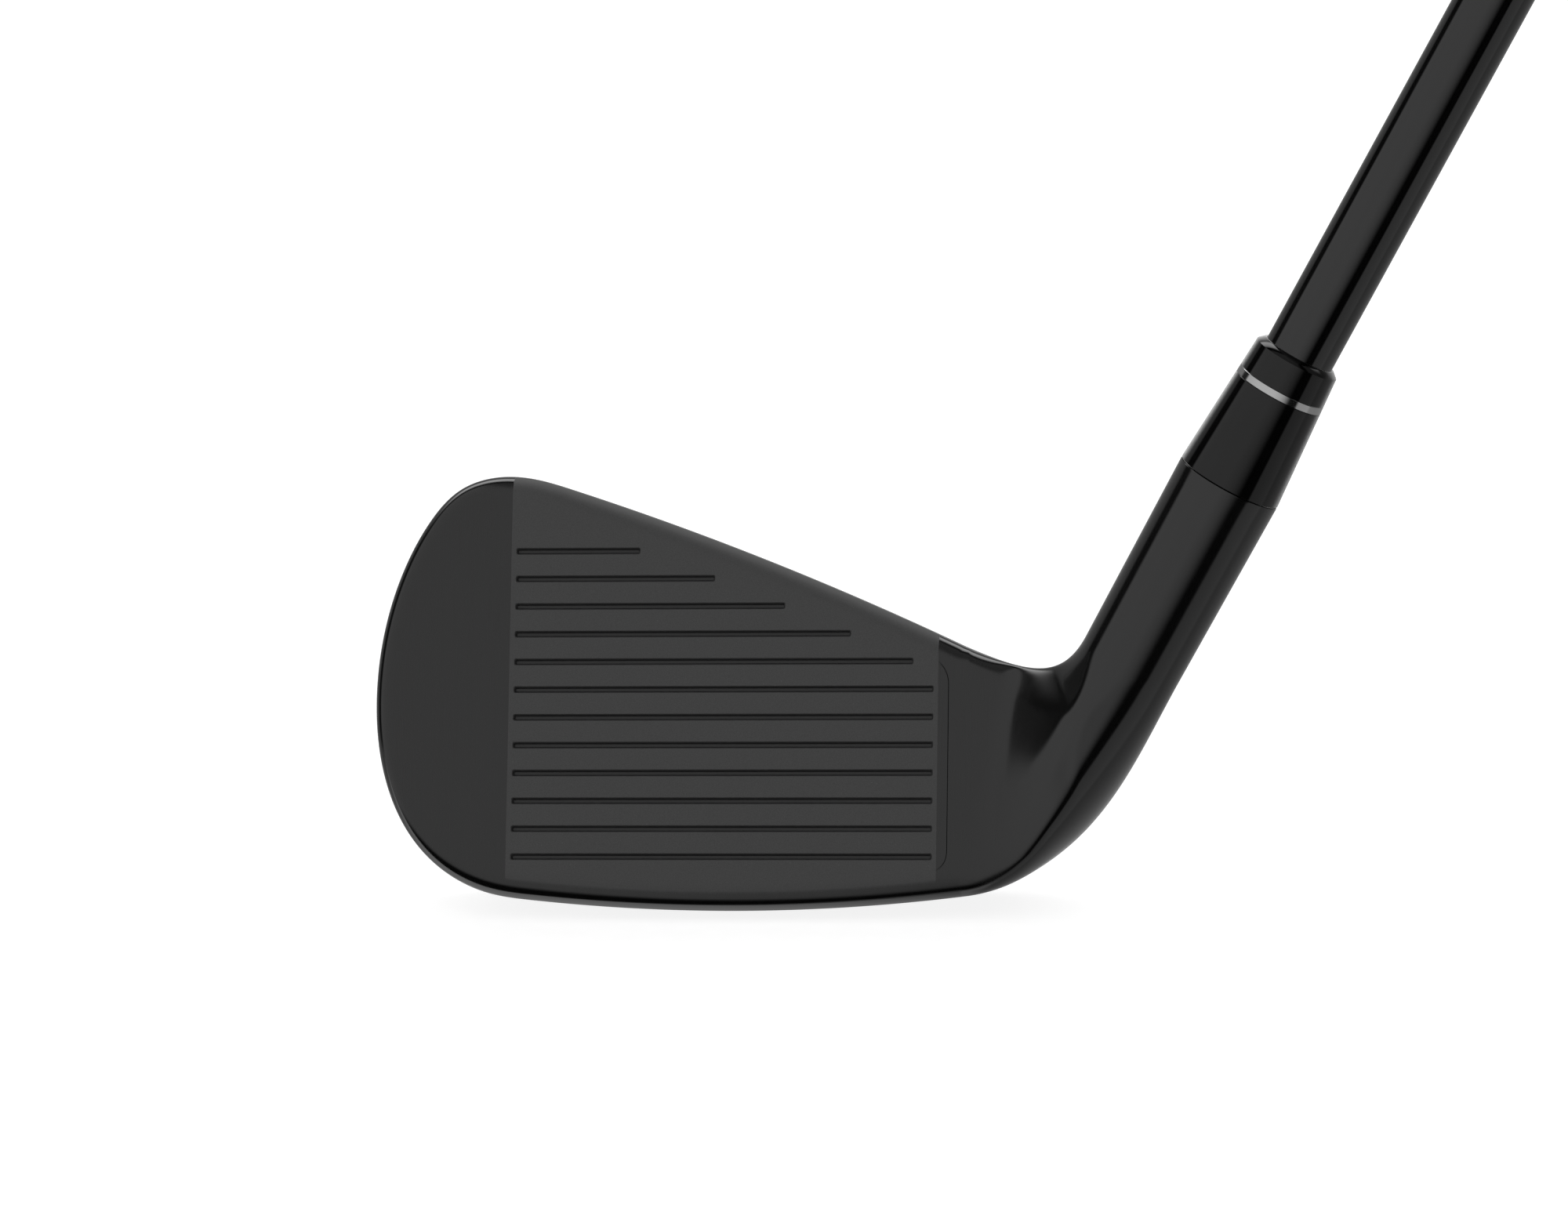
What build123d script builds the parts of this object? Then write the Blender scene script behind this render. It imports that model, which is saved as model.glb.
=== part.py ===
from build123d import *

import os
from math import cos, pi, radians, sin

# A right-handed 20 degree utility iron: hollow head with a welded face, ferrule, tapered shaft, rubber grip.
# The club stands at address. Millimetres; the origin is the centre of the strike face, +X runs from toe to
# heel, +Y from the strike face to the back, +Z up. The face leans back by LOFT, the shaft leans by LIE.

# ---- Driving dimensions ----
LOFT = 20.0
LIE = 61.0
CLUB_LENGTH = 997.0  # along the shaft axis, from the ground to the end of the grip
GROUND_Z = -26.6
AXIS_X = 34.8  # where the shaft axis meets the ground
AXIS_Y = -3.75  # the shaft axis lies this far in front of the face centre

# Blade outline on the strike face: x, height up the face
TOPLINE = ((31.8, 6.75), (7.4, 17.55), (-21.2, 27.95))
TOE_UPPER = ((-28.9, 29.45), (-36.5, 26.25), (-41.6, 18.4))
TOE_TIP = (-45.15, 0.6)
TOE_LOWER = ((-43.1, -12.3), (-40.4, -17.4), (-36.2, -21.6), (-31.6, -24.2))
TOE_CLIMB = (0.3, 0.5, 0.75, 0.95)  # share of the sole's climb that each lower toe point takes
TOE_CENTRE = (-18.0, 0.0)
SOLE_TOE = (-26.0, -25.75)
SOLE_MID = (1.0, -27.2)
SOLE_RADIUS = 240.0  # heel-to-toe rocker of the sole
BLADE_END_X = 30.0  # the neck begins here
SOLE_CLIMB = 0.167  # rise of the sole behind the leading edge, per mm of depth
SOLE_CAMBER = 0.0086
SOLE_DEPTHS = (0.0, 8.0, 16.0, 24.0)  # of the outlines that the blade is lofted through

# Back of the blade
TOP_THICKNESS = 6.2
BACK_SLOPE = 0.25  # growth of the thickness per mm below the topline
MUSCLE_TOP = (13.0, -3.0)  # depth, height where the muscle starts
MUSCLE_BACK = (20.5, -14.0)
MUSCLE_EDGE_DROP = 6.0  # from the back of the muscle down to the sole's trailing edge
SOLE_WIDTH = 21.5

# Welded face and cavity
FACE_THICKNESS = 2.1
FACE_SEAM_X = 29.0
FACE_INSET = 2.1
GROOVE_COUNT = 12
GROOVE_PITCH = 3.6
GROOVE_MIDDLE = -0.4  # height of the middle of the rows
GROOVE_WIDTH = 0.8
GROOVE_FLOOR_WIDTH = 0.45
GROOVE_DEPTH = 0.45
GROOVE_START_X = -27.0
GROOVE_END_X = 27.1
GROOVE_END_STEP = 0.05
GROOVE_TOP_GAP = 5.3  # from a groove's heel end up to the topline
WALL = 1.9
CAVITY_END_X = 26.5
CAVITY_INSET = 3.1
WEIGHT_START_X = -30.0
WEIGHT_END_X = 8.0
WEIGHT_TOP = -17.0
PORT_AT = (-27.0, 4.0)  # x, height of the fill port on the back
PORT_SCREW_R = 2.5
PORT_HEAD_R = 3.4
PORT_HEAD_HEIGHT = 1.2
PORT_SOCKET_R = 1.3
PORT_HEAD_SINK = 0.1
SCREW_EDGE_CHAMFER = 0.25
PORT_SCREW_REACH = 2.0  # the screw's length beyond the wall
PORT_SOCKET_DEPTH = 1.6
CUT_REACH = 70.0  # half the size of the blanks that cut the head
FRONT_MARGIN = 1.0  # how far those blanks start in front of the face

# Neck: its sections run round the heel from the blade to the hosel
FRONT_STEPS = 5  # spans of a section's front
TOP_EDGE_DROP = 1.5  # height of the topline's rounded back edge
HEEL_TRAIL_RISE = 0.5
SOLE_STOPS = (16.0, 11.0, 7.0, 3.0)  # depths of a section's points along the sole
RING_CORNERS = (0, 5, 7, 11, 16)  # points of a neck ring at the leading edge, topline and trailing edge
FIRST_POINT_TURN = 1.5  # where a round section starts, in points before the hosel's front
NECK_SHARES = (0.0, 0.12, 0.3, 0.5, 0.7, 0.88, 1.0)
NECK_MUSCLE = (16.2, -9.0)
CROTCH_LEAD = (8.2, -3.7)
CROTCH_PULL = 6.5
HEEL_LEAD = (16.0, 1.8)
HEEL_PULL = 14.0

# Hosel and ferrule; distances along the shaft axis are from the ground
NECK_TOP = 36.9
HOSEL_TOP = 63.2
HOSEL_TOP_R = 6.8
HOSEL_NECK_R = 6.57
NECK_OVERLAP = 0.6
NECK_STEP = 0.04
HOSEL_EDGE_CHAMFER = 0.25
BORE_R = 4.7
BORE_DEPTH = 32.0
FERRULE_LENGTH = 18.6
FERRULE_TOP_R = 5.45
FERRULE_CHAMFER = 0.7
RING_AT = 13.0
RING_HEIGHT = 0.85
RING_THICKNESS = 0.5

# Shaft and grip
SHAFT_TIP_R = 4.55
SHAFT_BUTT_R = 7.62
SHAFT_PARALLEL_END = 150.0
SHAFT_TAPER_END = 850.0
SHAFT_TIP_WALL = 1.9
SHAFT_BUTT_WALL = 1.0
TIP_WEIGHT_LENGTH = 22.0
TIP_WEIGHT_CHAMFER = 0.6
GRIP_LENGTH = 267.0
GRIP_MOUTH_R = 8.9
GRIP_BUTT_R = 13.2
GRIP_WAIST = 0.5
GRIP_MOUTH_FILLET = 0.6
TAPE_MARGIN = 4.0
CAP_R = 13.9
CAP_THICKNESS = 4.0
CAP_EDGE_R = 1.5
TAPE_THICKNESS = 0.25
VENT_R = 1.6

loft_angle, lie_angle = radians(LOFT), radians(LIE)
face_plane = Plane(origin=(0, 0, 0), x_dir=(1, 0, 0), z_dir=(0, -cos(loft_angle), sin(loft_angle)))
# Local x of the section plane is the depth behind the strike face, local y the height up the face.
depth_dir = (0, cos(loft_angle), -sin(loft_angle))
section_plane = Plane(origin=(0, 0, 0), x_dir=depth_dir, z_dir=(1, 0, 0))
# Local z of the shaft plane is the distance along the shaft from the ground.
shaft_dir = (cos(lie_angle), 0, sin(lie_angle))
shaft_plane = Plane(origin=(AXIS_X, AXIS_Y, GROUND_Z), x_dir=(0, 1, 0), z_dir=shaft_dir)
# Local x is the radius, local y the distance along the shaft.
lathe_plane = Plane(origin=shaft_plane.origin, x_dir=(0, 1, 0), z_dir=(sin(lie_angle), 0, -cos(lie_angle)))
shaft_axis = Axis(shaft_plane.origin, shaft_dir)


def sole_rise(depth):
    """How far the sole has climbed at a depth behind the strike face."""
    return SOLE_CLIMB * depth + SOLE_CAMBER * depth**2


def sole_height(x):
    """Face height of the sole's leading edge at x."""
    return SOLE_MID[1] + (x - SOLE_MID[0]) ** 2 / (2 * SOLE_RADIUS)


def topline_height(x):
    """Face height of the topline at x, on the arc through its three points."""
    (x0, y0), (x1, y1), (x2, y2) = TOPLINE
    share = (x - x0) / (x2 - x0)
    chord = y0 + (y2 - y0) * share
    mid_share = (x1 - x0) / (x2 - x0)
    bulge = y1 - (y0 + (y2 - y0) * mid_share)
    return chord + bulge * share * (1 - share) / (mid_share * (1 - mid_share))


def topline_slope():
    """Mean fall of the topline per mm towards the heel."""
    return (TOPLINE[0][1] - TOPLINE[2][1]) / (TOPLINE[0][0] - TOPLINE[2][0])


def back_depth(x, height):
    """Depth of the flat upper back behind the strike face."""
    return TOP_THICKNESS + BACK_SLOPE * (topline_height(0) + topline_slope() * x - height)


def blade_sketch(depth, inset=0.0, end_x=BLADE_END_X):
    """The blade's outline at a depth behind the strike face; its lower half climbs with the sole."""
    rise = sole_rise(depth) + inset
    toe_low = [(x, y + share * sole_rise(depth)) for (x, y), share in zip(TOE_LOWER, TOE_CLIMB)]
    toe_points = []
    for point in (*TOE_UPPER, TOE_TIP, *toe_low):
        inward = Vector(TOE_CENTRE[0] - point[0], TOE_CENTRE[1] - point[1]).normalized()
        toe_points.append(Vector(*point) + inward * inset)
    with BuildSketch(face_plane.offset(-depth)) as outline:
        with BuildLine():
            top_points = [(x, height - inset) for x, height in TOPLINE[1:]]
            top = ThreePointArc((end_x, topline_height(end_x) - inset), *top_points)
            sole_points = [(x, height + rise) for x, height in (SOLE_MID, SOLE_TOE)]
            sole = ThreePointArc((end_x, sole_height(end_x) + rise), *sole_points)
            Line(sole @ 0, top @ 0)
            Spline(top @ 1, *toe_points, sole @ 1)
        make_face()
    return outline.sketch


def back_prism(inset=0.0):
    """All that lies in front of the back: the upper back follows the topline, the muscle the sole."""
    low, high = SOLE_MID[1] - CUT_REACH / 8, topline_height(0) + CUT_REACH / 4
    along_top = Vector(1, topline_slope() * sin(loft_angle), topline_slope() * cos(loft_angle)).normalized()
    with BuildPart() as prism:
        with BuildSketch(section_plane):
            back_line = [(back_depth(0, low) - inset, low), (back_depth(0, high) - inset, high)]
            Polygon((-FRONT_MARGIN, low), *back_line, (-FRONT_MARGIN, high), align=None)
        extrude(amount=CUT_REACH, dir=along_top, both=True)
        with BuildSketch(section_plane):
            trailing_top = MUSCLE_BACK[1] - MUSCLE_EDGE_DROP
            corners = (MUSCLE_TOP, MUSCLE_BACK, (SOLE_WIDTH, trailing_top), (SOLE_WIDTH, low))
            muscle = [(depth - inset, height) for depth, height in corners]
            Polygon((-FRONT_MARGIN, MUSCLE_TOP[1]), *muscle, (-FRONT_MARGIN, low), align=None)
        extrude(amount=CUT_REACH, both=True)
    return prism.part


def bezier(points, share):
    """A point on a cubic Bezier curve."""
    rest = 1 - share
    weights = (rest**3, 3 * rest**2 * share, 3 * rest * share**2, share**3)
    return sum((Vector(*point) * weight for point, weight in zip(points, weights)), Vector(0, 0, 0))


def neck_ring(share):
    """The plane and the closed ring of points of one section of the neck.

    A section lies between an inner curve, from the topline through the crotch to the hosel, and an outer one,
    from the sole round the heel to the hosel. It turns from the blade's section into a circle on the way.
    """
    end_low, end_top = sole_height(BLADE_END_X), topline_height(BLADE_END_X)
    rise, edge_top = end_top - end_low, end_top - TOP_EDGE_DROP
    section = [(0.0, end_low + rise * step / FRONT_STEPS) for step in range(FRONT_STEPS + 1)]
    section += [(TOP_THICKNESS / 2, end_top), (back_depth(BLADE_END_X, edge_top), edge_top)]
    section += [(back_depth(BLADE_END_X, MUSCLE_TOP[1]), MUSCLE_TOP[1]), NECK_MUSCLE, MUSCLE_BACK]
    section += [(SOLE_WIDTH, end_low + sole_rise(SOLE_WIDTH) + HEEL_TRAIL_RISE)]
    section += [(depth, end_low + sole_rise(depth)) for depth in SOLE_STOPS]
    flat = [section_plane.from_local_coords((depth, height, BLADE_END_X)) for depth, height in section]
    top_z, low_z = max(point.Z for point in flat), min(point.Z for point in flat)

    end_radius = HOSEL_NECK_R - NECK_STEP  # the neck ends just inside the hosel's foot
    foot = shaft_plane.origin + Vector(*shaft_dir) * (NECK_TOP + NECK_OVERLAP)
    across = Vector(sin(lie_angle), 0, -cos(lie_angle)) * end_radius
    along = Vector(*shaft_dir)
    inner = [Vector(BLADE_END_X, 0, top_z), Vector(BLADE_END_X + CROTCH_LEAD[0], 0, top_z + CROTCH_LEAD[1])]
    inner += [foot - across - along * CROTCH_PULL, foot - across]
    outer = [Vector(BLADE_END_X, 0, low_z), Vector(BLADE_END_X + HEEL_LEAD[0], 0, low_z + HEEL_LEAD[1])]
    outer += [foot + across - along * HEEL_PULL, foot + across]
    start, end = (Vector(point.X, 0, point.Z) for point in (bezier(inner, share), bezier(outer, share)))
    blend = share * share * (3 - 2 * share)
    points = []
    for index, point in enumerate(flat):
        angle = 2 * pi * (index + FIRST_POINT_TURN) / len(flat)
        reach = (1 - blend) * (top_z - point.Z) / (top_z - low_z) + blend * (1 + cos(angle)) / 2
        y = (1 - blend) * point.Y + blend * (AXIS_Y - end_radius * sin(angle))
        points.append((reach * (end - start).length, y))
    points.append(points[0])
    plane = Plane(origin=start, x_dir=end - start, z_dir=(end - start).cross(Vector(0, 1, 0)))
    return plane, points


def shaft_radius(distance):
    """Outer radius of the shaft: a parallel tip, then a straight taper."""
    share = (distance - SHAFT_PARALLEL_END) / (SHAFT_TAPER_END - SHAFT_PARALLEL_END)
    return SHAFT_TIP_R + (SHAFT_BUTT_R - SHAFT_TIP_R) * min(max(share, 0), 1)


def ferrule_radius(height):
    """Outer radius of the ferrule at a height above the hosel."""
    return HOSEL_TOP_R + (FERRULE_TOP_R - HOSEL_TOP_R) * height / FERRULE_LENGTH


def groove_end(height):
    """Where a groove ends at the heel: the upper grooves stop short of the topline."""
    x = GROOVE_END_X
    while topline_height(x) - GROOVE_TOP_GAP < height:
        x -= GROOVE_END_STEP
    return x


bore_bottom = HOSEL_TOP - BORE_DEPTH
grip_start = CLUB_LENGTH - GRIP_LENGTH
cap_start = CLUB_LENGTH - CAP_THICKNESS

# Blade: outlines at four depths lofted together, then cut to the shape of the back.
with BuildPart() as blade:
    loft(sections=[blade_sketch(depth) for depth in SOLE_DEPTHS])
    add(back_prism(), mode=Mode.INTERSECT)

# Neck: sections that fan round the heel and turn into the hosel's circle.
with BuildPart() as neck:
    for share in NECK_SHARES:
        ring_plane, ring_points = neck_ring(share)
        with BuildSketch(ring_plane):
            with BuildLine():
                for first, last in zip(RING_CORNERS, RING_CORNERS[1:]):
                    Spline(*ring_points[first : last + 1])
            make_face()
    loft()

# Hollow behind the face, filled by the foam core and the weight.
with BuildPart() as cavity:
    loft(sections=[blade_sketch(depth, CAVITY_INSET, CAVITY_END_X) for depth in SOLE_DEPTHS])
    add(back_prism(WALL), mode=Mode.INTERSECT)
    extrude(blade_sketch(0), amount=-FACE_THICKNESS, mode=Mode.SUBTRACT)

# The flat forged face that is welded into the front of the head.
with BuildPart() as face_insert:
    extrude(blade_sketch(0, FACE_INSET, FACE_SEAM_X), amount=-FACE_THICKNESS)

# The back's flat upper panel at the fill port, with its outward normal.
port_height = PORT_AT[1]
port_spot = (back_depth(PORT_AT[0], port_height), port_height, PORT_AT[0])
panel_along = (back_depth(PORT_AT[0] + 1, port_height) - port_spot[0], 0, 1)
panel_up = (back_depth(PORT_AT[0], port_height + 1) - port_spot[0], 1, 0)
panel_x, panel_y = (
    section_plane.from_local_coords(Vector(*step)) - section_plane.origin for step in (panel_along, panel_up)
)
port_plane = Plane(
    origin=section_plane.from_local_coords(Vector(*port_spot)), x_dir=panel_x, z_dir=panel_y.cross(panel_x)
)

# Screw that closes the foam's fill port.
with BuildPart() as fill_port_screw:
    with BuildSketch(port_plane.offset(-PORT_HEAD_HEIGHT)):
        Circle(PORT_HEAD_R)
    extrude(amount=PORT_HEAD_HEIGHT - PORT_HEAD_SINK)
    screw_axis = Axis(port_plane.origin, port_plane.z_dir)
    chamfer(fill_port_screw.faces().sort_by(screw_axis)[-1].edges(), SCREW_EDGE_CHAMFER)
    with BuildSketch(port_plane.offset(-PORT_HEAD_HEIGHT)):
        Circle(PORT_SCREW_R)
    extrude(amount=-(WALL - PORT_HEAD_HEIGHT + PORT_SCREW_REACH))
    with BuildSketch(port_plane):
        RegularPolygon(PORT_SOCKET_R, 6)
    extrude(amount=-PORT_SOCKET_DEPTH, mode=Mode.SUBTRACT)

# Tungsten weight low in the toe half of the cavity.
with BuildPart() as toe_weight:
    add(cavity.part)
    with BuildSketch(section_plane.offset(WEIGHT_START_X)):
        with Locations((0, WEIGHT_TOP)):
            Rectangle(CUT_REACH, CUT_REACH, align=(Align.CENTER, Align.MAX))
    extrude(amount=WEIGHT_END_X - WEIGHT_START_X, mode=Mode.INTERSECT)

# Foam core: fills the rest of the cavity.
with BuildPart() as foam_core:
    add(cavity.part)
    add(toe_weight.part, mode=Mode.SUBTRACT)
    add(fill_port_screw.part, mode=Mode.SUBTRACT)

# Head body: blade, neck and hosel in one casting.
with BuildPart() as head_body:
    add(blade.part)
    add(neck.part)
    with BuildSketch(lathe_plane):
        hosel_edge = (HOSEL_TOP_R - HOSEL_EDGE_CHAMFER, HOSEL_TOP)
        Polygon(
            (0, NECK_TOP), (HOSEL_NECK_R, NECK_TOP), (HOSEL_TOP_R, HOSEL_TOP - HOSEL_EDGE_CHAMFER),
            hosel_edge, (0, HOSEL_TOP), align=None,
        )
    revolve(axis=shaft_axis)
    add(cavity.part, mode=Mode.SUBTRACT)
    add(face_insert.part, mode=Mode.SUBTRACT)
    with BuildSketch(shaft_plane.offset(bore_bottom)):
        Circle(BORE_R)
    extrude(amount=BORE_DEPTH, mode=Mode.SUBTRACT)
    with BuildSketch(port_plane.offset(-PORT_HEAD_HEIGHT)):
        Circle(PORT_HEAD_R)
    extrude(amount=PORT_HEAD_HEIGHT, mode=Mode.SUBTRACT)
    with BuildSketch(port_plane):
        Circle(PORT_SCREW_R)
    extrude(amount=-WALL - PORT_SCREW_REACH, mode=Mode.SUBTRACT)

# Scorelines in the face: trapezoid grooves, the upper ones shorter at the heel.
with BuildPart() as grooves:
    for row in range(GROOVE_COUNT):
        height = GROOVE_MIDDLE + (row - (GROOVE_COUNT - 1) / 2) * GROOVE_PITCH
        with BuildSketch(section_plane.offset(GROOVE_START_X)):
            mouth, floor = GROOVE_WIDTH / 2, GROOVE_FLOOR_WIDTH / 2
            Polygon(
                (0, height + mouth), (GROOVE_DEPTH, height + floor), (GROOVE_DEPTH, height - floor),
                (0, height - mouth), align=None,
            )
        extrude(amount=groove_end(height) - GROOVE_START_X)
with face_insert:
    add(grooves.part, mode=Mode.SUBTRACT)


def sleeve(profile):
    """A turned piece: its profile in radius and distance along the shaft, spun round the shaft axis."""
    with BuildPart() as turned:
        with BuildSketch(lathe_plane):
            Polygon(*profile, align=None)
        revolve(axis=shaft_axis)
    return turned.part


# Epoxy between the shaft tip and the bore.
with BuildPart() as hosel_adhesive:
    inner, outer = ([(radius, bore_bottom), (radius, HOSEL_TOP)] for radius in (SHAFT_TIP_R, BORE_R))
    add(sleeve([*inner, *reversed(outer)]))

# Shaft: a parallel tip, a long taper and a parallel butt; the bore tapers too.
with BuildPart() as shaft:
    outer = [(shaft_radius(at), at) for at in (bore_bottom, SHAFT_PARALLEL_END, SHAFT_TAPER_END, cap_start)]
    walls = (SHAFT_TIP_WALL, SHAFT_TIP_WALL, SHAFT_BUTT_WALL, SHAFT_BUTT_WALL)
    inner = [(radius - wall, at) for (radius, at), wall in zip(outer, walls)]
    add(sleeve([*outer, *reversed(inner)]))

# Brass weight pressed into the shaft tip.
with BuildPart() as tip_weight:
    with BuildSketch(shaft_plane.offset(bore_bottom)):
        Circle(SHAFT_TIP_R - SHAFT_TIP_WALL)
    extrude(amount=TIP_WEIGHT_LENGTH)
    chamfer(tip_weight.faces().sort_by(shaft_axis)[-1].edges(), TIP_WEIGHT_CHAMFER)

# Ferrule: a plastic cone above the hosel, with a metal ring let into it.
ring_low, ring_high = HOSEL_TOP + RING_AT, HOSEL_TOP + RING_AT + RING_HEIGHT
ferrule_top = HOSEL_TOP + FERRULE_LENGTH
ring_inner_r = ferrule_radius(RING_AT) - RING_THICKNESS
with BuildPart() as ferrule:
    add(
        sleeve(
            [
                (SHAFT_TIP_R, HOSEL_TOP), (HOSEL_TOP_R, HOSEL_TOP), (ferrule_radius(RING_AT), ring_low),
                (ring_inner_r, ring_low), (ring_inner_r, ring_high),
                (ferrule_radius(RING_AT + RING_HEIGHT), ring_high),
                (ferrule_radius(FERRULE_LENGTH), ferrule_top - FERRULE_CHAMFER),
                (FERRULE_TOP_R - FERRULE_CHAMFER, ferrule_top), (SHAFT_TIP_R, ferrule_top),
            ]
        )
    )
with BuildPart() as ferrule_ring:
    add(
        sleeve(
            [
                (ring_inner_r, ring_low), (ferrule_radius(RING_AT), ring_low),
                (ferrule_radius(RING_AT + RING_HEIGHT), ring_high), (ring_inner_r, ring_high),
            ]
        )
    )

# Double-sided tape between the shaft and the grip.
tape_spans = (grip_start + TAPE_MARGIN, SHAFT_TAPER_END, cap_start)
tape_line = [(shaft_radius(at), at) for at in tape_spans]
with BuildPart() as grip_tape:
    add(sleeve([*tape_line, *[(radius + TAPE_THICKNESS, at) for radius, at in reversed(tape_line)]]))

# Rubber grip: swells to the butt, with a lip at its mouth.
with BuildPart() as grip_sleeve:
    grip_bore = [(shaft_radius(at) + TAPE_THICKNESS, at) for at in (grip_start, SHAFT_TAPER_END, cap_start)]
    with BuildSketch(lathe_plane):
        with BuildLine():
            Polyline((GRIP_BUTT_R, cap_start), *reversed(grip_bore), (GRIP_MOUTH_R, grip_start))
            swell = (GRIP_MOUTH_R + GRIP_BUTT_R) / 2 - GRIP_WAIST
            mid = (swell, (grip_start + cap_start) / 2)
            Spline((GRIP_MOUTH_R, grip_start), mid, (GRIP_BUTT_R, cap_start))
        make_face()
    revolve(axis=shaft_axis)
    fillet(grip_sleeve.edges().group_by(shaft_axis)[0].sort_by(SortBy.LENGTH)[-1], GRIP_MOUTH_FILLET)

# Cap that closes the grip, with the vent hole that lets air out as the grip slides on.
with BuildPart() as grip_cap:
    with BuildSketch(shaft_plane.offset(cap_start)):
        Circle(CAP_R)
    extrude(amount=CAP_THICKNESS)
    fillet(grip_cap.faces().sort_by(shaft_axis)[-1].edges(), CAP_EDGE_R)
    with BuildSketch(shaft_plane.offset(cap_start)):
        Circle(VENT_R)
    extrude(amount=CAP_THICKNESS, mode=Mode.SUBTRACT)

os.makedirs("parts", exist_ok=True)
pieces = {
    "head_body": head_body,
    "face_insert": face_insert,
    "toe_weight": toe_weight,
    "foam_core": foam_core,
    "fill_port_screw": fill_port_screw,
    "hosel_adhesive": hosel_adhesive,
    "shaft": shaft,
    "tip_weight": tip_weight,
    "ferrule": ferrule,
    "ferrule_ring": ferrule_ring,
    "grip_tape": grip_tape,
    "grip_sleeve": grip_sleeve,
    "grip_cap": grip_cap,
}
for name, piece in pieces.items():
    piece.part.label = name
    export_step(piece.part, f"parts/{name}.step")
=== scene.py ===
"""Looks of a 20 degree utility iron: satin black head, blasted face, ferrule, gloss shaft and rubber grip."""

from math import cos, pi, radians, sin

import bmesh
import bpy
import numpy as np
from mathutils import Matrix, Vector
from mathutils.geometry import tessellate_polygon


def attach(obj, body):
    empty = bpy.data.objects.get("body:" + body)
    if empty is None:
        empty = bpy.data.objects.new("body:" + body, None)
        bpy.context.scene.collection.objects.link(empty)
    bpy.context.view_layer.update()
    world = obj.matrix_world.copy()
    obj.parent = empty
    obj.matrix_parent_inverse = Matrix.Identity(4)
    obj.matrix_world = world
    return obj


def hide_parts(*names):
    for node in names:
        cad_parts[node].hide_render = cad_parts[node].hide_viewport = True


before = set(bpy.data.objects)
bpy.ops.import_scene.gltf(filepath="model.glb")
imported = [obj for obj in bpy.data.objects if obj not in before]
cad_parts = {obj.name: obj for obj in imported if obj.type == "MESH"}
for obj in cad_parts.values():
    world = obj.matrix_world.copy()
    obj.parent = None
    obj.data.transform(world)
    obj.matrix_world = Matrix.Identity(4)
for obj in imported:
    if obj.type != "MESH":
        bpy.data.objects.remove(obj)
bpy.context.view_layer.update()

MM = 0.001  # shapes are worked out in millimetres and built in metres

# ---- Pose of the club: the face leans back by the loft, the shaft leans by the lie ----
LOFT = radians(20)
LIE = radians(61)
GROUND_Z = -26.6
AXIS_X = 34.8  # where the shaft axis meets the ground
AXIS_Y = -3.75
CLUB_LENGTH = 997.0

# ---- Blade outline on the strike face: x, height up the face ----
BLADE_END_X = 31.0
TOPLINE = ((31.8, 6.88), (7.4, 17.7), (-21.2, 28.2))
TOE_CURVE = (
    (-28.9, 29.6), (-34.6, 27.95), (-38.7, 23.6), (-41.5, 18.4), (-43.8, 11.6), (-45.16, 0.6),
    (-43.9, -9.8), (-40.4, -17.6), (-35.6, -22.5), (-30.6, -25.0),
)
TOE_TIP_INDEX = 5
SOLE_MID = (1.0, -27.4)
SOLE_TOE_X = -24.0
SOLE_RADIUS = 240.0
SOLE_CLIMB = 0.167  # rise of the sole behind the leading edge, per mm of depth
SOLE_CAMBER = 0.0086
TOE_CLIMB_FROM, TOE_CLIMB_TO = 6.0, -25.0  # heights between which the toe joins in the sole's climb

# ---- Edge roundings ----
LEADING_EDGE_R = (3.5, 2.8)  # in the face plane, in depth
TOP_EDGE_R = (3.1, 3.0)
TOE_EDGE_R = (2.5, 2.3)
LEADING_EDGE_SPAN = (-42, -25)  # x over which the sole's half takes on the leading edge's size
TOE_EDGE_SPAN = (27, 38)  # distance towards the toe over which the edge takes on the toe's size
TRAILING_EDGE_R = 3.0
TOP_BACK_R = 1.3
TOE_BACK_R = 2.2
TOE_BACK_SPAN = (18, 40)

# ---- Back of the blade ----
TOP_THICKNESS = 6.2
BACK_SLOPE = 0.25
MUSCLE_TOP = (13.0, -3.0)
MUSCLE_SLOPE = 0.68
MUSCLE_DEPTH = 21.2
MUSCLE_BEND = 1.6  # how softly the upper back turns into the muscle
MUSCLE_END_BEND = 2.5  # and the muscle's slope into its deepest part
SPINE_TOE_X = -20.0  # the back's rows run in to a spine, which slows down past this
SPINE_REACH = 17.0
SPINE_LIFT = 1.5
SPINE_TOP = 3.0

# ---- Mesh density of the head ----
EDGE_SAMPLES = 200  # points along the topline and the sole before they are evened out
TOE_SAMPLES = 60  # and between two points of the toe's curve
HALF_OUTLINE = 220  # quads along each half of the blade outline
ARC_STEPS = 10
WALL_STEPS = 16
BACK_ARC_STEPS = 8
BACK_STEPS = 26
BACK_CROWDING = 1.25  # packs the back's rows towards its edge
FACE_LINE_STEPS = 40
NECK_RINGS = 64
SHARP_ANGLE = 32.0


def topline_height(x):
    """Face height of the topline at x."""
    (x0, y0), (x1, y1), (x2, y2) = TOPLINE
    share = (x - x0) / (x2 - x0)
    mid = (x1 - x0) / (x2 - x0)
    bulge = y1 - (y0 + (y2 - y0) * mid)
    return y0 + (y2 - y0) * share + bulge * share * (1 - share) / (mid * (1 - mid))


def sole_height(x):
    """Face height of the sole's virtual corner with the strike face at x."""
    return SOLE_MID[1] + (x - SOLE_MID[0]) ** 2 / (2 * SOLE_RADIUS)


def sole_rise(depth):
    """How far the sole has climbed at a depth behind the strike face."""
    return SOLE_CLIMB * depth + SOLE_CAMBER * depth**2


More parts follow.
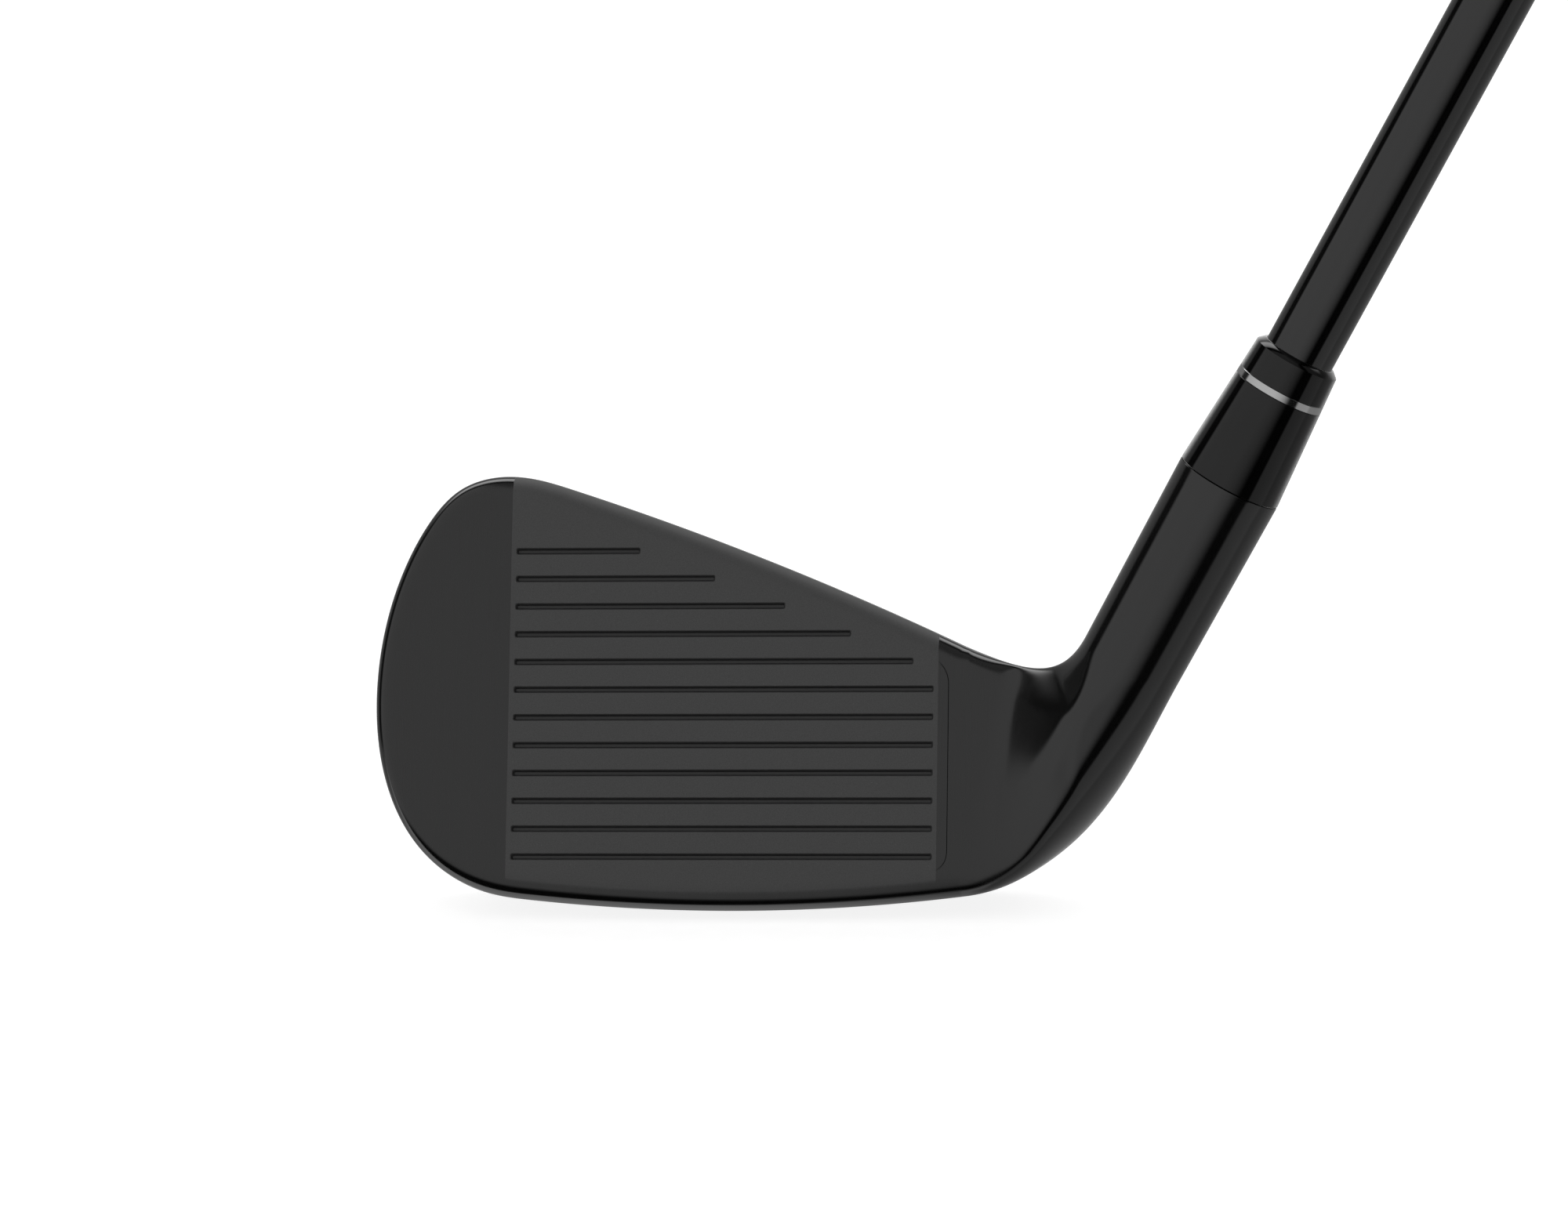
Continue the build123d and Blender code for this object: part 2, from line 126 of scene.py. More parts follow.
def smooth_step(low, high, value):
    """0 below low, 1 above high, and a smooth ramp between."""
    t = np.clip((value - low) / (high - low), 0, 1)
    return t * t * (3 - 2 * t)


def soft_max(a, b, width):
    """The larger of two numbers, rounded off where they cross."""
    return 0.5 * (a + b + np.sqrt((a - b) ** 2 + width**2))


def upper_back_depth(x, height):
    """Depth of the flat upper back behind the strike face."""
    slope = (TOPLINE[0][1] - TOPLINE[2][1]) / (TOPLINE[0][0] - TOPLINE[2][0])
    return TOP_THICKNESS + BACK_SLOPE * (topline_height(0) + slope * x - height)


def back_depth(x, height):
    """Depth of the back surface: the flat upper back, then a deeper muscle below it."""
    upper = upper_back_depth(x, height)
    ramp = MUSCLE_TOP[0] + MUSCLE_SLOPE * (MUSCLE_TOP[1] - height)
    muscle = -soft_max(-ramp, -MUSCLE_DEPTH, MUSCLE_END_BEND)
    return soft_max(upper, muscle, MUSCLE_BEND)


def face_to_world(points):
    """Face coordinates (x, height up the face, depth behind it) to the row frame, in millimetres."""
    x, height, depth = np.moveaxis(np.asarray(points, float), -1, 0)
    y = height * sin(LOFT) + depth * cos(LOFT)
    z = height * cos(LOFT) - depth * sin(LOFT)
    return np.stack([x, y, z], axis=-1)


def run_length(points):
    """Distance along a polyline at each of its points."""
    return np.concatenate([[0], np.cumsum(np.linalg.norm(np.diff(points, axis=0), axis=1))])


def inward_from(along):
    """Unit vectors to the left of each direction."""
    along = along / np.linalg.norm(along, axis=1)[:, None]
    return np.stack([-along[:, 1], along[:, 0]], axis=1)


def clamped_spline(points, start_slope, end_slope, steps):
    """A smooth curve through 2-D points with given end directions: a cubic spline over chord length."""
    points = np.asarray(points, float)
    gap = np.diff(run_length(points))
    count = len(points)
    matrix = np.zeros((count, count))
    right = np.zeros((count, 2))
    matrix[0, 0] = matrix[-1, -1] = 1
    right[0], right[-1] = start_slope, end_slope
    for i in range(1, count - 1):
        matrix[i, i - 1], matrix[i, i + 1] = gap[i], gap[i - 1]
        matrix[i, i] = 2 * (gap[i - 1] + gap[i])
        before = (points[i] - points[i - 1]) / gap[i - 1]
        after = (points[i + 1] - points[i]) / gap[i]
        right[i] = 3 * (gap[i] * before + gap[i - 1] * after)
    slopes = np.linalg.solve(matrix, right)
    curve = []
    for i in range(count - 1):
        for t in np.linspace(0, 1, steps, endpoint=False):
            ease = 3 * t**2 - 2 * t**3
            bend = (t**3 - 2 * t**2 + t) * slopes[i] + (t**3 - t**2) * slopes[i + 1]
            curve.append((1 - ease) * points[i] + ease * points[i + 1] + gap[i] * bend)
    curve.append(points[-1])
    return np.array(curve)


def resample(curve, count):
    """Evenly spaced points along a polyline."""
    length = run_length(curve)
    at = np.linspace(0, length[-1], count + 1)
    return np.stack([np.interp(at, length, curve[:, axis]) for axis in (0, 1)], axis=1)


def blade_outline():
    """The outline from the heel end of the topline round the toe to the heel end of the sole."""
    top_x = np.linspace(BLADE_END_X, TOPLINE[2][0], EDGE_SAMPLES)
    top = np.stack([top_x, topline_height(top_x)], axis=1)
    sole_x = np.linspace(SOLE_TOE_X, BLADE_END_X, EDGE_SAMPLES)
    sole = np.stack([sole_x, sole_height(sole_x)], axis=1)
    top_way = (top[-1] - top[-2]) / np.linalg.norm(top[-1] - top[-2])
    sole_way = (sole[1] - sole[0]) / np.linalg.norm(sole[1] - sole[0])
    toe = clamped_spline([top[-1], *TOE_CURVE, sole[0]], top_way, sole_way, TOE_SAMPLES)
    tip = (TOE_TIP_INDEX + 1) * TOE_SAMPLES
    upper = np.concatenate([top[:-1], toe[: tip + 1]])
    lower = np.concatenate([toe[tip:-1], sole])
    return np.concatenate([resample(upper, HALF_OUTLINE), resample(lower, HALF_OUTLINE)[1:]])


def edge_radii(x, lower):
    """Size of the front edge's rounding, in the face plane and in depth; lower marks the sole's half."""
    leading = smooth_step(*LEADING_EDGE_SPAN, x) * lower
    toe = smooth_step(*TOE_EDGE_SPAN, -x)
    sizes = []
    for top, side, lead in zip(TOP_EDGE_R, TOE_EDGE_R, LEADING_EDGE_R):
        size = top + (side - top) * toe
        sizes.append(size + (lead - size) * leading)
    return sizes


def blade_grid():
    """Rows of points over the blade: from the front rounding's start, over the edge, to the back's middle."""
    edge = blade_outline()
    inward = inward_from(np.gradient(edge, axis=0))
    x, height = edge[:, 0], edge[:, 1]
    lower = np.arange(len(edge)) > HALF_OUTLINE
    climb = np.where(lower, smooth_step(-TOE_CLIMB_FROM, -TOE_CLIMB_TO, -height), 0)
    climb = np.where(lower & (x > SOLE_TOE_X), 1, climb)
    radius_in, radius_deep = edge_radii(x, lower)
    radius_back = np.where(lower, TRAILING_EDGE_R, TOP_BACK_R)
    radius_back = radius_back + (TOE_BACK_R - radius_back) * smooth_step(*TOE_BACK_SPAN, -x)
    # Depth of the back at the edge: the sole's climb moves the edge itself, and six rounds settle it.
    full_depth = back_depth(x, height)
    for _ in range(6):
        full_depth = back_depth(x, height + climb * sole_rise(full_depth))

    def place(inset, depth):
        """A row of points at a distance in from the edge and a depth behind the face."""
        spot = edge + inward * np.broadcast_to(inset, x.shape)[:, None]
        rise = climb * sole_rise(depth)
        return np.stack([spot[:, 0], spot[:, 1] + rise, np.broadcast_to(depth, x.shape)], axis=1)

    rows = []
    for step in range(ARC_STEPS + 1):
        angle = pi / 2 * step / ARC_STEPS
        depth = radius_deep * (1 - cos(angle))
        rows.append(place(radius_in * (1 - sin(angle)), depth))
    wall_end = full_depth - radius_back
    for step in range(1, WALL_STEPS + 1):
        depth = radius_deep + (wall_end - radius_deep) * step / WALL_STEPS
        rows.append(place(0, depth))
    for step in range(1, BACK_ARC_STEPS + 1):
        angle = pi / 2 * step / BACK_ARC_STEPS
        depth = wall_end + radius_back * sin(angle)
        rows.append(place(radius_back * (1 - cos(angle)), depth))
    # The back runs in from the edge to a spine along the blade's middle.
    last = rows[-1]
    mean_x = 0.5 * (x + x[::-1])
    past = np.minimum(mean_x - SPINE_TOE_X, 0)
    spine_x = np.maximum(mean_x, SPINE_TOE_X) - SPINE_REACH * (1 - np.exp(past / SPINE_REACH))
    middle = 0.5 * (topline_height(spine_x) + sole_height(spine_x))
    spine_y = np.minimum(middle + SPINE_LIFT, SPINE_TOP)
    spine = np.stack([spine_x, spine_y], axis=1)
    edge_gap = last[:, 2] - back_depth(last[:, 0], last[:, 1])
    for step in range(1, BACK_STEPS + 1):
        share = (step / BACK_STEPS) ** BACK_CROWDING
        spot = last[:, :2] + (spine - last[:, :2]) * share
        depth = back_depth(spot[:, 0], spot[:, 1]) + edge_gap * (1 - share) ** 4
        rows.append(np.column_stack([spot, depth]))
    return np.array(rows)


# ---- Neck and hosel; distances along the shaft axis are from the ground ----
NECK_TOP = 36.9
HOSEL_TOP = 63.2
HOSEL_NECK_R = 6.57
HOSEL_TOP_R = 6.82
HOSEL_EDGE = 0.25
BORE_R = 4.7
BORE_BOTTOM = HOSEL_TOP - 32.0
CROTCH_LEAD = 8.2
CROTCH_PULL = 6.5
HEEL_LEAD = 16.0
HEEL_PULL = 14.0
HOSEL_RINGS = 12
FLANK_X = (35.0, 0.2)  # where the face plane starts to turn to the hosel's front: at z = 0, and its lean
FLANK_LOW = (38.0, 0.17)  # where the turn is steepest from: at z = 0, and its lean
FLANK_HIGH = (44.2, 0.6)  # and up to
FLANK_CREST = (3.7, 7.0)  # from there on to where it ends: high up, and what this grows by lower down
FLANK_WIDEN = (0, 17)  # depths below the origin between which it grows
CREST_DROP = 1.0  # how far the hosel's front moves back on its way down
CREST_SPAN = (4, -22)  # heights between which it does
HEEL_ROUND_BY = 0.45  # share of the neck by which the heel's rounding has grown to the hosel's radius
HEEL_SPREAD = 1.6  # extra width of the heel's rounding between the sole and the hosel
HEEL_DEEPEN = 3.0  # how far the heel's outer line swings back between the sole and the hosel
CROTCH_ROUND_BY = 0.9  # share of the neck by which the crotch's rounding has grown to the hosel's radius
NECK_SHAPED_BY = 0.35  # share of the neck by which the blade's rounding has turned into the neck's
NECK_SEW = 1.2  # distance from the neck's edges over which its front meets its back
FLANK_FULL_FROM = 0.6  # and from which the hosel's front spreads over the whole width

# ---- Welded face ----
SEAM_INSET = 0.25  # from the end of the edge's rounding
SEAM_X = 29.0
SEAM_CORNER_R = 2.6
SEAM_CORNER_STEPS = 12
SEAM_HEEL_STEPS = 29
SEAM_WIDTH = 0.1
SEAM_DEPTH = 0.05
SEAM_TRACE = 0.001  # what is left of that depth where the weld is ground flush
SEAM_FADE = (27.2, 28.4)  # x between which the weld's fine groove fades in
FACE_THICKNESS = 2.1

# ---- Scorelines ----
GROOVE_COUNT = 12
GROOVE_PITCH = 3.6
GROOVE_HALF = 0.4
GROOVE_FLOOR_HALF = 0.17
GROOVE_DEPTH = 0.45
GROOVE_LIP_R = 0.1
GROOVE_LIP_TURN = radians(67.5)  # how far the lip turns towards the wall
GROOVE_LIP_STEPS = 4
GROOVE_BEND = (0.75, 0.8)  # where the wall meets the floor's rounding: share of its slide, and of the depth
GROOVE_CORNER = 0.55  # corner radius, in half widths
GROOVE_START_X = -27.0
GROOVE_END_X = 27.1
GROOVE_TOP_GAP = 5.35
GROOVE_MIDDLE = -0.45  # height of the middle of the twelve
GROOVE_END_SAMPLES = 2000  # places tried for a scoreline's end under the topline

# ---- Ferrule ----
FERRULE_LENGTH = 18.6
FERRULE_TOP_R = 5.55
FERRULE_CHAMFER = 0.7
RING_AT = 13.0
RING_HEIGHT = 1.0
RING_THICKNESS = 0.5
FINE_EDGE = 0.06  # rounding of crisp turned edges

# ---- Shaft and grip ----
SHAFT_TIP_R = 4.55
SHAFT_BUTT_R = 7.62
SHAFT_PARALLEL_END = 150.0
SHAFT_TAPER_END = 850.0
SHAFT_TIP_WALL = 1.9
SHAFT_BUTT_WALL = 1.0
TAPE_THICKNESS = 0.25
GRIP_START = CLUB_LENGTH - 267.0
CAP_START = CLUB_LENGTH - 4.0
GRIP_MOUTH_R = 8.9
GRIP_BUTT_R = 13.2
GRIP_WAIST = 0.5
GRIP_LIP_R = 0.6
CAP_R = 13.9
CAP_EDGE_R = 1.5
VENT_R = 1.6

# ---- Grip pattern: crossed helical grooves, a dimple in each diamond, and plain bands between fields ----
GRIP_HELICES = 14
GRIP_HELIX_STEP = 8.4  # length of a diamond along the shaft
GRIP_GROOVE_DEPTH = 0.42
GRIP_GROOVE_HALF = 0.42
GRIP_DIMPLE_DEPTH = 0.3
GRIP_DIMPLE_R = 0.85
GRIP_BANDS = (8.0, 70.0, 132.0, 194.0, 254.0)  # middles of the plain bands, from the mouth
GRIP_BAND_HALF = 3.6
GRIP_FIELD_EDGE = 1.0  # distance over which the cut pattern fades in
GRIP_RING_GAP = 2.3  # from a band's middle to each of its two ring grooves
GRIP_RING_HALF = 0.45
GRIP_RING_DEPTH = 0.4
GRIP_COLUMNS = 12 * GRIP_HELICES
GRIP_ROW_STEP = 0.45

# ---- Fill port on the back ----
PORT_AT = (-27.0, 4.0)  # x, height
PORT_SCREW_R = 2.5
PORT_HEAD_R = 3.4
PORT_HEAD_HEIGHT = 1.2
PORT_HEAD_SINK = 0.1
PORT_SOCKET_R = 1.3
PORT_SOCKET_DEPTH = 1.6
PORT_SOCKET_EDGE = 0.12
PORT_REACH = 3.9  # from the back's surface to the screw's end
PORT_MOUTH_EDGE = 0.2
PORT_HEAD_EDGE = 0.25
PORT_CLEARANCE = 0.05

# ---- Small edges of the turned pieces ----
SHAFT_EDGE = 0.3
FERRULE_FOOT_EDGE = 0.12
CAP_FOOT_EDGE = 0.4
CAP_RINGS = (9.8, 6.2)
CAP_RING_GROOVE = ((0.5, 0.0), (0.2, 0.22), (0.0, 0.3), (-0.2, 0.22), (-0.5, 0.0))  # off its middle, depth
CAP_VENT_EDGE = 0.5
ROUND_STEPS = 160

# ---- Finish of the head ----
BLAST_HALF = 27.65
BLAST_DEPTH = 2.0
BLAST_FOOT = 2.6  # the blasted zone ends this far above the sole's corner
BLAST_GREY = 0.05
BLAST_SOFTNESS = (0.06, 0.4, 0.35)  # of its edges, each way: at the sides, in depth, at the foot
BLAST_ROUGHNESS = (0.55, 0.65)
BLAST_BUMP = 0.004
SATIN_GREY = 0.003
SATIN_ROUGHNESS = (0.21, 0.31)
HOSEL_ROUGHNESS = (0.105, 0.135)
POLISH_FROM_TO = (30.0, 46.0)
BRUSH_STRETCH = 0.02
BRUSH_SIZES = (0.16, 0.9)  # width of the fine and the broad lines
BRUSH_FINE_SHARE = 0.6
BRUSH_BUMP = 0.0006
GRIT_SIZE = 0.14
# Painted glints in the blasted zone: spacing, size and share of the grains painted lighter, and how much
# lighter
GLINT_GAP = 0.9
GLINT_SIZE = 0.09
GLINT_SHARE = 0.7
PAINTED_GLINT_GREY = 0.03
# Painted shade in the scorelines: their colour is dimmed to this share, between these depths
GROOVE_PAINTED_SHADE = 0.25
PAINTED_SHADE_DEPTHS = (0.04, 0.3)  # between which the scorelines are darkened with painted shade
STEEL_IOR = (1.455, 1.485)  # satin, polished
EDGE_POLISH = (0.05, 0.6)  # depths between which the satin turns to the polish of the edges

NOISE_SPAN = (0.3, 0.7)  # holds most of a noise's values

# ---- Camera: a long lens at the front, a little to the heel side and above ----
CAMERA_LENS, CAMERA_SENSOR = 180.0, 36.0
CAMERA_EYE = (0.12067, -0.97557, 0.19941)  # metres
CAMERA_AZIMUTH, CAMERA_ELEVATION, CAMERA_ROLL = radians(6.5762), radians(10.79), radians(-1.417)

# ---- Studio: angles in degrees ----
STUDIO_TILT_COS, STUDIO_TILT_SIN = 0.875, 0.485
STUDIO_ROUND = (
    (-179, 0.9), (-168, 0.4), (-155, 0.32), (-120, 0.32), (-114, 0.02), (-98, 0.02), (-93, 0.85), (-60, 1.0),
    (-10, 1.0), (0, 0.9), (10, 0.78), (20, 0.5), (29, 0.12), (33, 0.0), (53, 0.0), (57, 0.55), (90, 0.6),
    (95, 0.4), (130, 0.37), (155, 0.35), (168, 0.4), (179, 0.9),
)
STUDIO_DARK = 0.012
STUDIO_TOP_EDGE = (0.78, 0.62, 0.35, 1.0)  # reach, light
STUDIO_FOOT_EDGE = (-0.8, -0.6)
STUDIO_UNCUT = (30, 40)  # past these angles the foot edge doesn't cut the light off
TUBE_HEIGHT = 127.0  # up from the front, over the top
TUBE_HALF = 10.0
TUBE_LIGHT = 3.0
TUBE_REACH = (0.85, 0.5)
FLOOR_LIGHT = (0.4, 1.8)  # towards the back, straight down
FLOOR_LIGHT_SIDE = (0.2, -0.1)
FLOOR_LIGHT_SPAN = (-150, -75)
FLOOR_LIGHT_NEAR = (-68.5, -71.5)  # where it ends towards the camera
FLOOR_LIGHT_FAR = (-175, -160)
FLOOR_REACH = 12.0
FLOOR_GREY = (0.27, 0.3)
FLOOR_GAP = 0.0008
FLOOR_GLOW = 0.86


class Spindle:
    """An axis to turn shapes round: a foot, its direction, and where angle 0 and a quarter turn lie."""

    def __init__(self, foot, way, zero):
        self.foot, self.way, self.zero = (np.asarray(v, float) for v in (foot, way, zero))
        self.quarter = np.cross(self.zero, self.way)

    def circle(self, distance, radius, angles):
        """Points at a distance along the axis and a radius from it."""
        out = np.cos(angles)[:, None] * self.zero + np.sin(angles)[:, None] * self.quarter
        return self.foot + self.way * np.reshape(distance, (-1, 1)) + np.reshape(radius, (-1, 1)) * out


SHAFT_FOOT = np.array([AXIS_X, AXIS_Y, GROUND_Z])
SHAFT_WAY = np.array([cos(LIE), 0, sin(LIE)])
SHAFT_ACROSS = np.array([sin(LIE), 0, -cos(LIE)])
SHAFT = Spindle(SHAFT_FOOT, SHAFT_WAY, SHAFT_ACROSS)  # angle 0 on the heel side, a quarter turn at the front


def bezier(points, t):
    """A point on a cubic Bezier curve."""
    p0, p1, p2, p3 = (np.asarray(p, float) for p in points)
    return (1 - t) ** 3 * p0 + 3 * (1 - t) ** 2 * t * p1 + 3 * (1 - t) * t**2 * p2 + t**3 * p3


def neck_angles(ring):
    """Hosel angle that each point of the blade's end ring turns into: even by length, lowest point at 0."""
    low, top = int(np.argmin(ring[:, 2])), int(np.argmax(ring[:, 2]))
    order = np.roll(ring, -low, axis=0)
    count = len(ring)
    length = run_length(order)
    whole = length[-1] + np.linalg.norm(order[0] - order[-1])
    peak = (top - low) % count
    angle = np.where(
        np.arange(count) <= peak,
        pi * length / length[peak],
        pi + pi * (length - length[peak]) / (whole - length[peak]),
    )
    return np.roll(angle, low)


def round_edge(distance, radius):
    """0 at an edge and 1 from a radius away: the height of a quarter circle."""
    return np.sqrt(1 - (1 - np.clip(distance / radius, 0, 1)) ** 2)


def eased_ramp(x, start, low, high, end):
    """0 before start and 1 after end: straight between low and high, with parabolas at both ends."""
    high = np.maximum(high, low + 0.1)
    end = np.maximum(end, high + 0.1)
    foot, top = np.clip(x, start, low) - start, end - np.clip(x, high, end)
    risen = foot**2 / (2 * (low - start)) + np.clip(x, low, high) - low
    risen = risen + ((end - high) ** 2 - top**2) / (2 * (end - high))
    return risen / ((low - start) / 2 + high - low + (end - high) / 2)


def neck_front(spot, from_top, from_low, top_y, low_y, share):
    """Depth of the neck's front, bare and with its edges rounded: the face plane turns, along the hosel's
    toe side, into the hosel's front."""
    x, z = spot[:, 0], spot[:, 1]
    start, low, high = (x0 + lean * z for x0, lean in (FLANK_X, FLANK_LOW, FLANK_HIGH))
    crest_gap = FLANK_CREST[0] + FLANK_CREST[1] * smooth_step(*FLANK_WIDEN, -z)
    flank = eased_ramp(x, start, low, high, high + crest_gap)
    flank = flank + (1 - flank) * smooth_step(FLANK_FULL_FROM, 1, share)
    plane = z * sin(LOFT) / cos(LOFT)
    drop = CREST_DROP * np.clip((CREST_SPAN[0] - z) / (CREST_SPAN[0] - CREST_SPAN[1]), 0, 1)
    proud = plane - AXIS_Y + HOSEL_NECK_R - drop
    bare = plane - proud * flank
    low_radius = LEADING_EDGE_R[0] + (HOSEL_NECK_R - LEADING_EDGE_R[0]) * smooth_step(0, HEEL_ROUND_BY, share)
    low_radius = low_radius + HEEL_SPREAD * sin(pi * share) ** 2
    y = low_y + (bare - low_y) * round_edge(from_low, low_radius)
    top_radius = TOP_EDGE_R[0] + (HOSEL_NECK_R - TOP_EDGE_R[0]) * smooth_step(0, CROTCH_ROUND_BY, share)
    return bare, top_y + (y - top_y) * round_edge(from_top, top_radius)


def neck_rings(ring):
    """Sections from the blade's end ring, fanning round the heel, to the hosel's top."""
    angles = neck_angles(ring)
    top_z, low_z = ring[:, 2].max(), ring[:, 2].min()
    foot = (SHAFT_FOOT + SHAFT_WAY * NECK_TOP)[[0, 2]]
    way, across = SHAFT_WAY[[0, 2]], SHAFT_ACROSS[[0, 2]]
    step = 0.5
    top_slope = (topline_height(BLADE_END_X + step) - topline_height(BLADE_END_X - step)) / (2 * step)
    sole_slope = (BLADE_END_X - SOLE_MID[0]) / SOLE_RADIUS

    def edge_curve(z, slope, lead, side, pull):
        """Bezier points from an end of the blade's ring to one side of the hosel."""
        start, end = np.array([BLADE_END_X, z]), foot + side * across * HOSEL_NECK_R
        return start, start + lead * np.array([1, slope * cos(LOFT)]), end - way * pull, end

    inner = edge_curve(top_z, top_slope, CROTCH_LEAD, -1, CROTCH_PULL)
    outer = edge_curve(low_z, sole_slope, HEEL_LEAD, 1, HEEL_PULL)
    blade_reach = (top_z - ring[:, 2]) / (top_z - low_z)
    low, top = int(np.argmin(ring[:, 2])), int(np.argmax(ring[:, 2]))
    front = (angles > 0) & (angles < pi)
    off_plane = ring[:, 1] - ring[:, 2] * sin(LOFT) / cos(LOFT)
    rings = []
    for index in range(1, NECK_RINGS + 1):
        share = index / NECK_RINGS
        blend = smooth_step(0, 1, share)
        start, end = bezier(inner, share), bezier(outer, share)
        reach = (1 - blend) * blade_reach + blend * (1 + np.cos(angles)) / 2
        y = (1 - blend) * ring[:, 1] + blend * (AXIS_Y - HOSEL_NECK_R * np.sin(angles))
        y = y + HEEL_DEEPEN * sin(pi * share) ** 2 * np.maximum(np.cos(angles), 0) ** 3
        spot = start + (end - start) * reach[:, None]
        length = np.linalg.norm(end - start)
        from_top, from_low = reach * length, (1 - reach) * length
        bare, shaped = neck_front(spot, from_top, from_low, y[top], y[low], share)
        sewn = smooth_step(0, NECK_SEW, from_low) * smooth_step(0, NECK_SEW, from_top)
        carried = y + (bare + off_plane - y) * sewn
        shaped = carried + (shaped - carried) * smooth_step(0, NECK_SHAPED_BY, share)
        rings.append(np.column_stack([spot[:, 0], np.where(front, shaped, y), spot[:, 1]]))
    for index in range(1, HOSEL_RINGS + 1):
        share = index / HOSEL_RINGS
        distance = NECK_TOP + (HOSEL_TOP - HOSEL_EDGE - NECK_TOP) * share
        rings.append(SHAFT.circle(distance, HOSEL_NECK_R + (HOSEL_TOP_R - HOSEL_NECK_R) * share, angles))
    edge = 0.3 * HOSEL_EDGE
    mouth = [(HOSEL_TOP - edge, HOSEL_TOP_R - edge), (HOSEL_TOP, HOSEL_TOP_R - HOSEL_EDGE)]
    for distance, radius in (*mouth, (HOSEL_TOP, BORE_R), (BORE_BOTTOM, BORE_R)):
        rings.append(SHAFT.circle(distance, radius, angles))
    return rings


class Shape:
    """Collects points and faces, then becomes a mesh object that rides on the club."""

    def __init__(self):
        self.points, self.faces = [], []

    def add(self, points):
        """Adds points, in millimetres in the row frame, and returns their indices."""
        first = len(self.points)
        self.points += [tuple(p) for p in np.asarray(points, float)]
        return list(range(first, len(self.points)))

    def strip(self, a, b, closed=False):
        """Quads between two rows of indices."""
        count = len(a) if closed else len(a) - 1
        for i in range(count):
            j = (i + 1) % len(a)
            quad = [a[i], a[j], b[j], b[i]]
            face = [v for k, v in enumerate(quad) if v != quad[k - 1]]
            if len(set(face)) >= 3:
                self.faces.append(face)

    def fill(self, loops):
        """A flat area between an outer loop of indices and the loops of its holes."""
        flat = [[Vector(self.points[i]) for i in loop] for loop in loops]
        indices = [i for loop in loops for i in loop]
        for triangle in tessellate_polygon(flat):
            self.faces.append([indices[i] for i in triangle])

    def mesh(self, name):
        """The points and faces as a mesh with its faces turned outwards."""
        mesh = bpy.data.meshes.new(name)
        mesh.from_pydata([tuple(c * MM for c in p) for p in self.points], [], self.faces)
        mesh.validate()
        work = bmesh.new()
        work.from_mesh(mesh)
        bmesh.ops.recalc_face_normals(work, faces=work.faces)
        work.to_mesh(mesh)
        work.free()
        return mesh

    def build(self, name, material, replaces, slot, cutters=()):
        """Makes the object: smooth with sharp edges kept, its normals led by its large flat areas."""
        piece = bpy.data.objects.new(name, self.mesh(name))
        bpy.context.scene.collection.objects.link(piece)
        for cutter in cutters:
            piece.data = subtract(piece, cutter)
            piece.data.name = name
        mesh = piece.data
        mesh.shade_smooth()
        mesh.set_sharp_from_angle(angle=radians(SHARP_ANGLE))
        mesh.materials.clear()
        mesh.materials.append(material)
        normals = piece.modifiers.new("Weighted normals", "WEIGHTED_NORMAL")
        normals.mode = "FACE_AREA"
        normals.keep_sharp = True
        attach(piece, "root")
        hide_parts(replaces)


def subtract(piece, cutter):
    """The mesh of a piece with a closed shape cut out of it."""
    tool = bpy.data.objects.new("cutter", cutter.mesh("cutter"))
    bpy.context.scene.collection.objects.link(tool)
    cut = piece.modifiers.new("Cut", "BOOLEAN")
    cut.operation = "DIFFERENCE"
    cut.solver = "EXACT"
    cut.object = tool
    result = bpy.data.meshes.new_from_object(piece.evaluated_get(bpy.context.evaluated_depsgraph_get()))
    piece.modifiers.remove(cut)
    bpy.data.objects.remove(tool)
    return result


def face_seam():
    """The outline of the welded face: inside the blade's edge, straight across the heel, round corners."""
    edge = blade_outline()
    lower = np.arange(len(edge)) > HALF_OUTLINE
    inset = edge_radii(edge[:, 0], lower)[0] + SEAM_INSET
    loop = edge + inward_from(np.gradient(edge, axis=0)) * inset[:, None]
    keep = loop[:, 0] < SEAM_X - SEAM_CORNER_R
    top, sole = loop[: HALF_OUTLINE + 1], loop[HALF_OUTLINE + 1 :]
    top, sole = top[keep[: HALF_OUTLINE + 1]], sole[keep[HALF_OUTLINE + 1 :]]

    def corner(last, way, turn):
        """A quadratic Bezier curve from the edge into the straight heel seam."""
        knee = np.array([SEAM_X, last[1] + way[1] / way[0] * (SEAM_X - last[0])])
        end = knee + np.array([0, turn * SEAM_CORNER_R])
        t = np.linspace(0, 1, SEAM_CORNER_STEPS + 1)[1:, None]
        return (1 - t) ** 2 * last + 2 * (1 - t) * t * knee + t**2 * end

    low_corner = corner(sole[-1], sole[-1] - sole[-2], 1)
    top_corner = corner(top[0], top[0] - top[1], -1)[::-1]
    heel = np.linspace(low_corner[-1], top_corner[0], SEAM_HEEL_STEPS + 1)[1:-1]
    return np.concatenate([top, sole, low_corner, heel, top_corner])


def seam_open(seam):
    """1 where the weld still shows as a fine groove, at the heel, and 0 where it is ground flush."""
    return smooth_step(*SEAM_FADE, seam[:, 0])


def offset_loop(loop, distance):
    """A closed loop moved inwards, to the left of its direction."""
    inward = inward_from(np.roll(loop, -1, axis=0) - np.roll(loop, 1, axis=0))
    return loop + np.reshape(distance, (-1, 1)) * inward


def on_face(loop, depth):
    """A loop in the face plane, at a depth behind it, in the row frame."""
    return face_to_world(np.column_stack([loop, np.broadcast_to(depth, len(loop))]))


def seam_loops(shape, side):
    """One side of the weld: its edge in the face, its fine groove's bottom, its foot behind the face."""
    seam = face_seam()
    opened = seam_open(seam)
    edge = shape.add(on_face(offset_loop(seam, side * SEAM_WIDTH / 2 * opened), 0.0))
    dip = shape.add(on_face(seam, SEAM_TRACE + SEAM_DEPTH * opened))
    return edge, dip, shape.add(on_face(seam, FACE_THICKNESS))


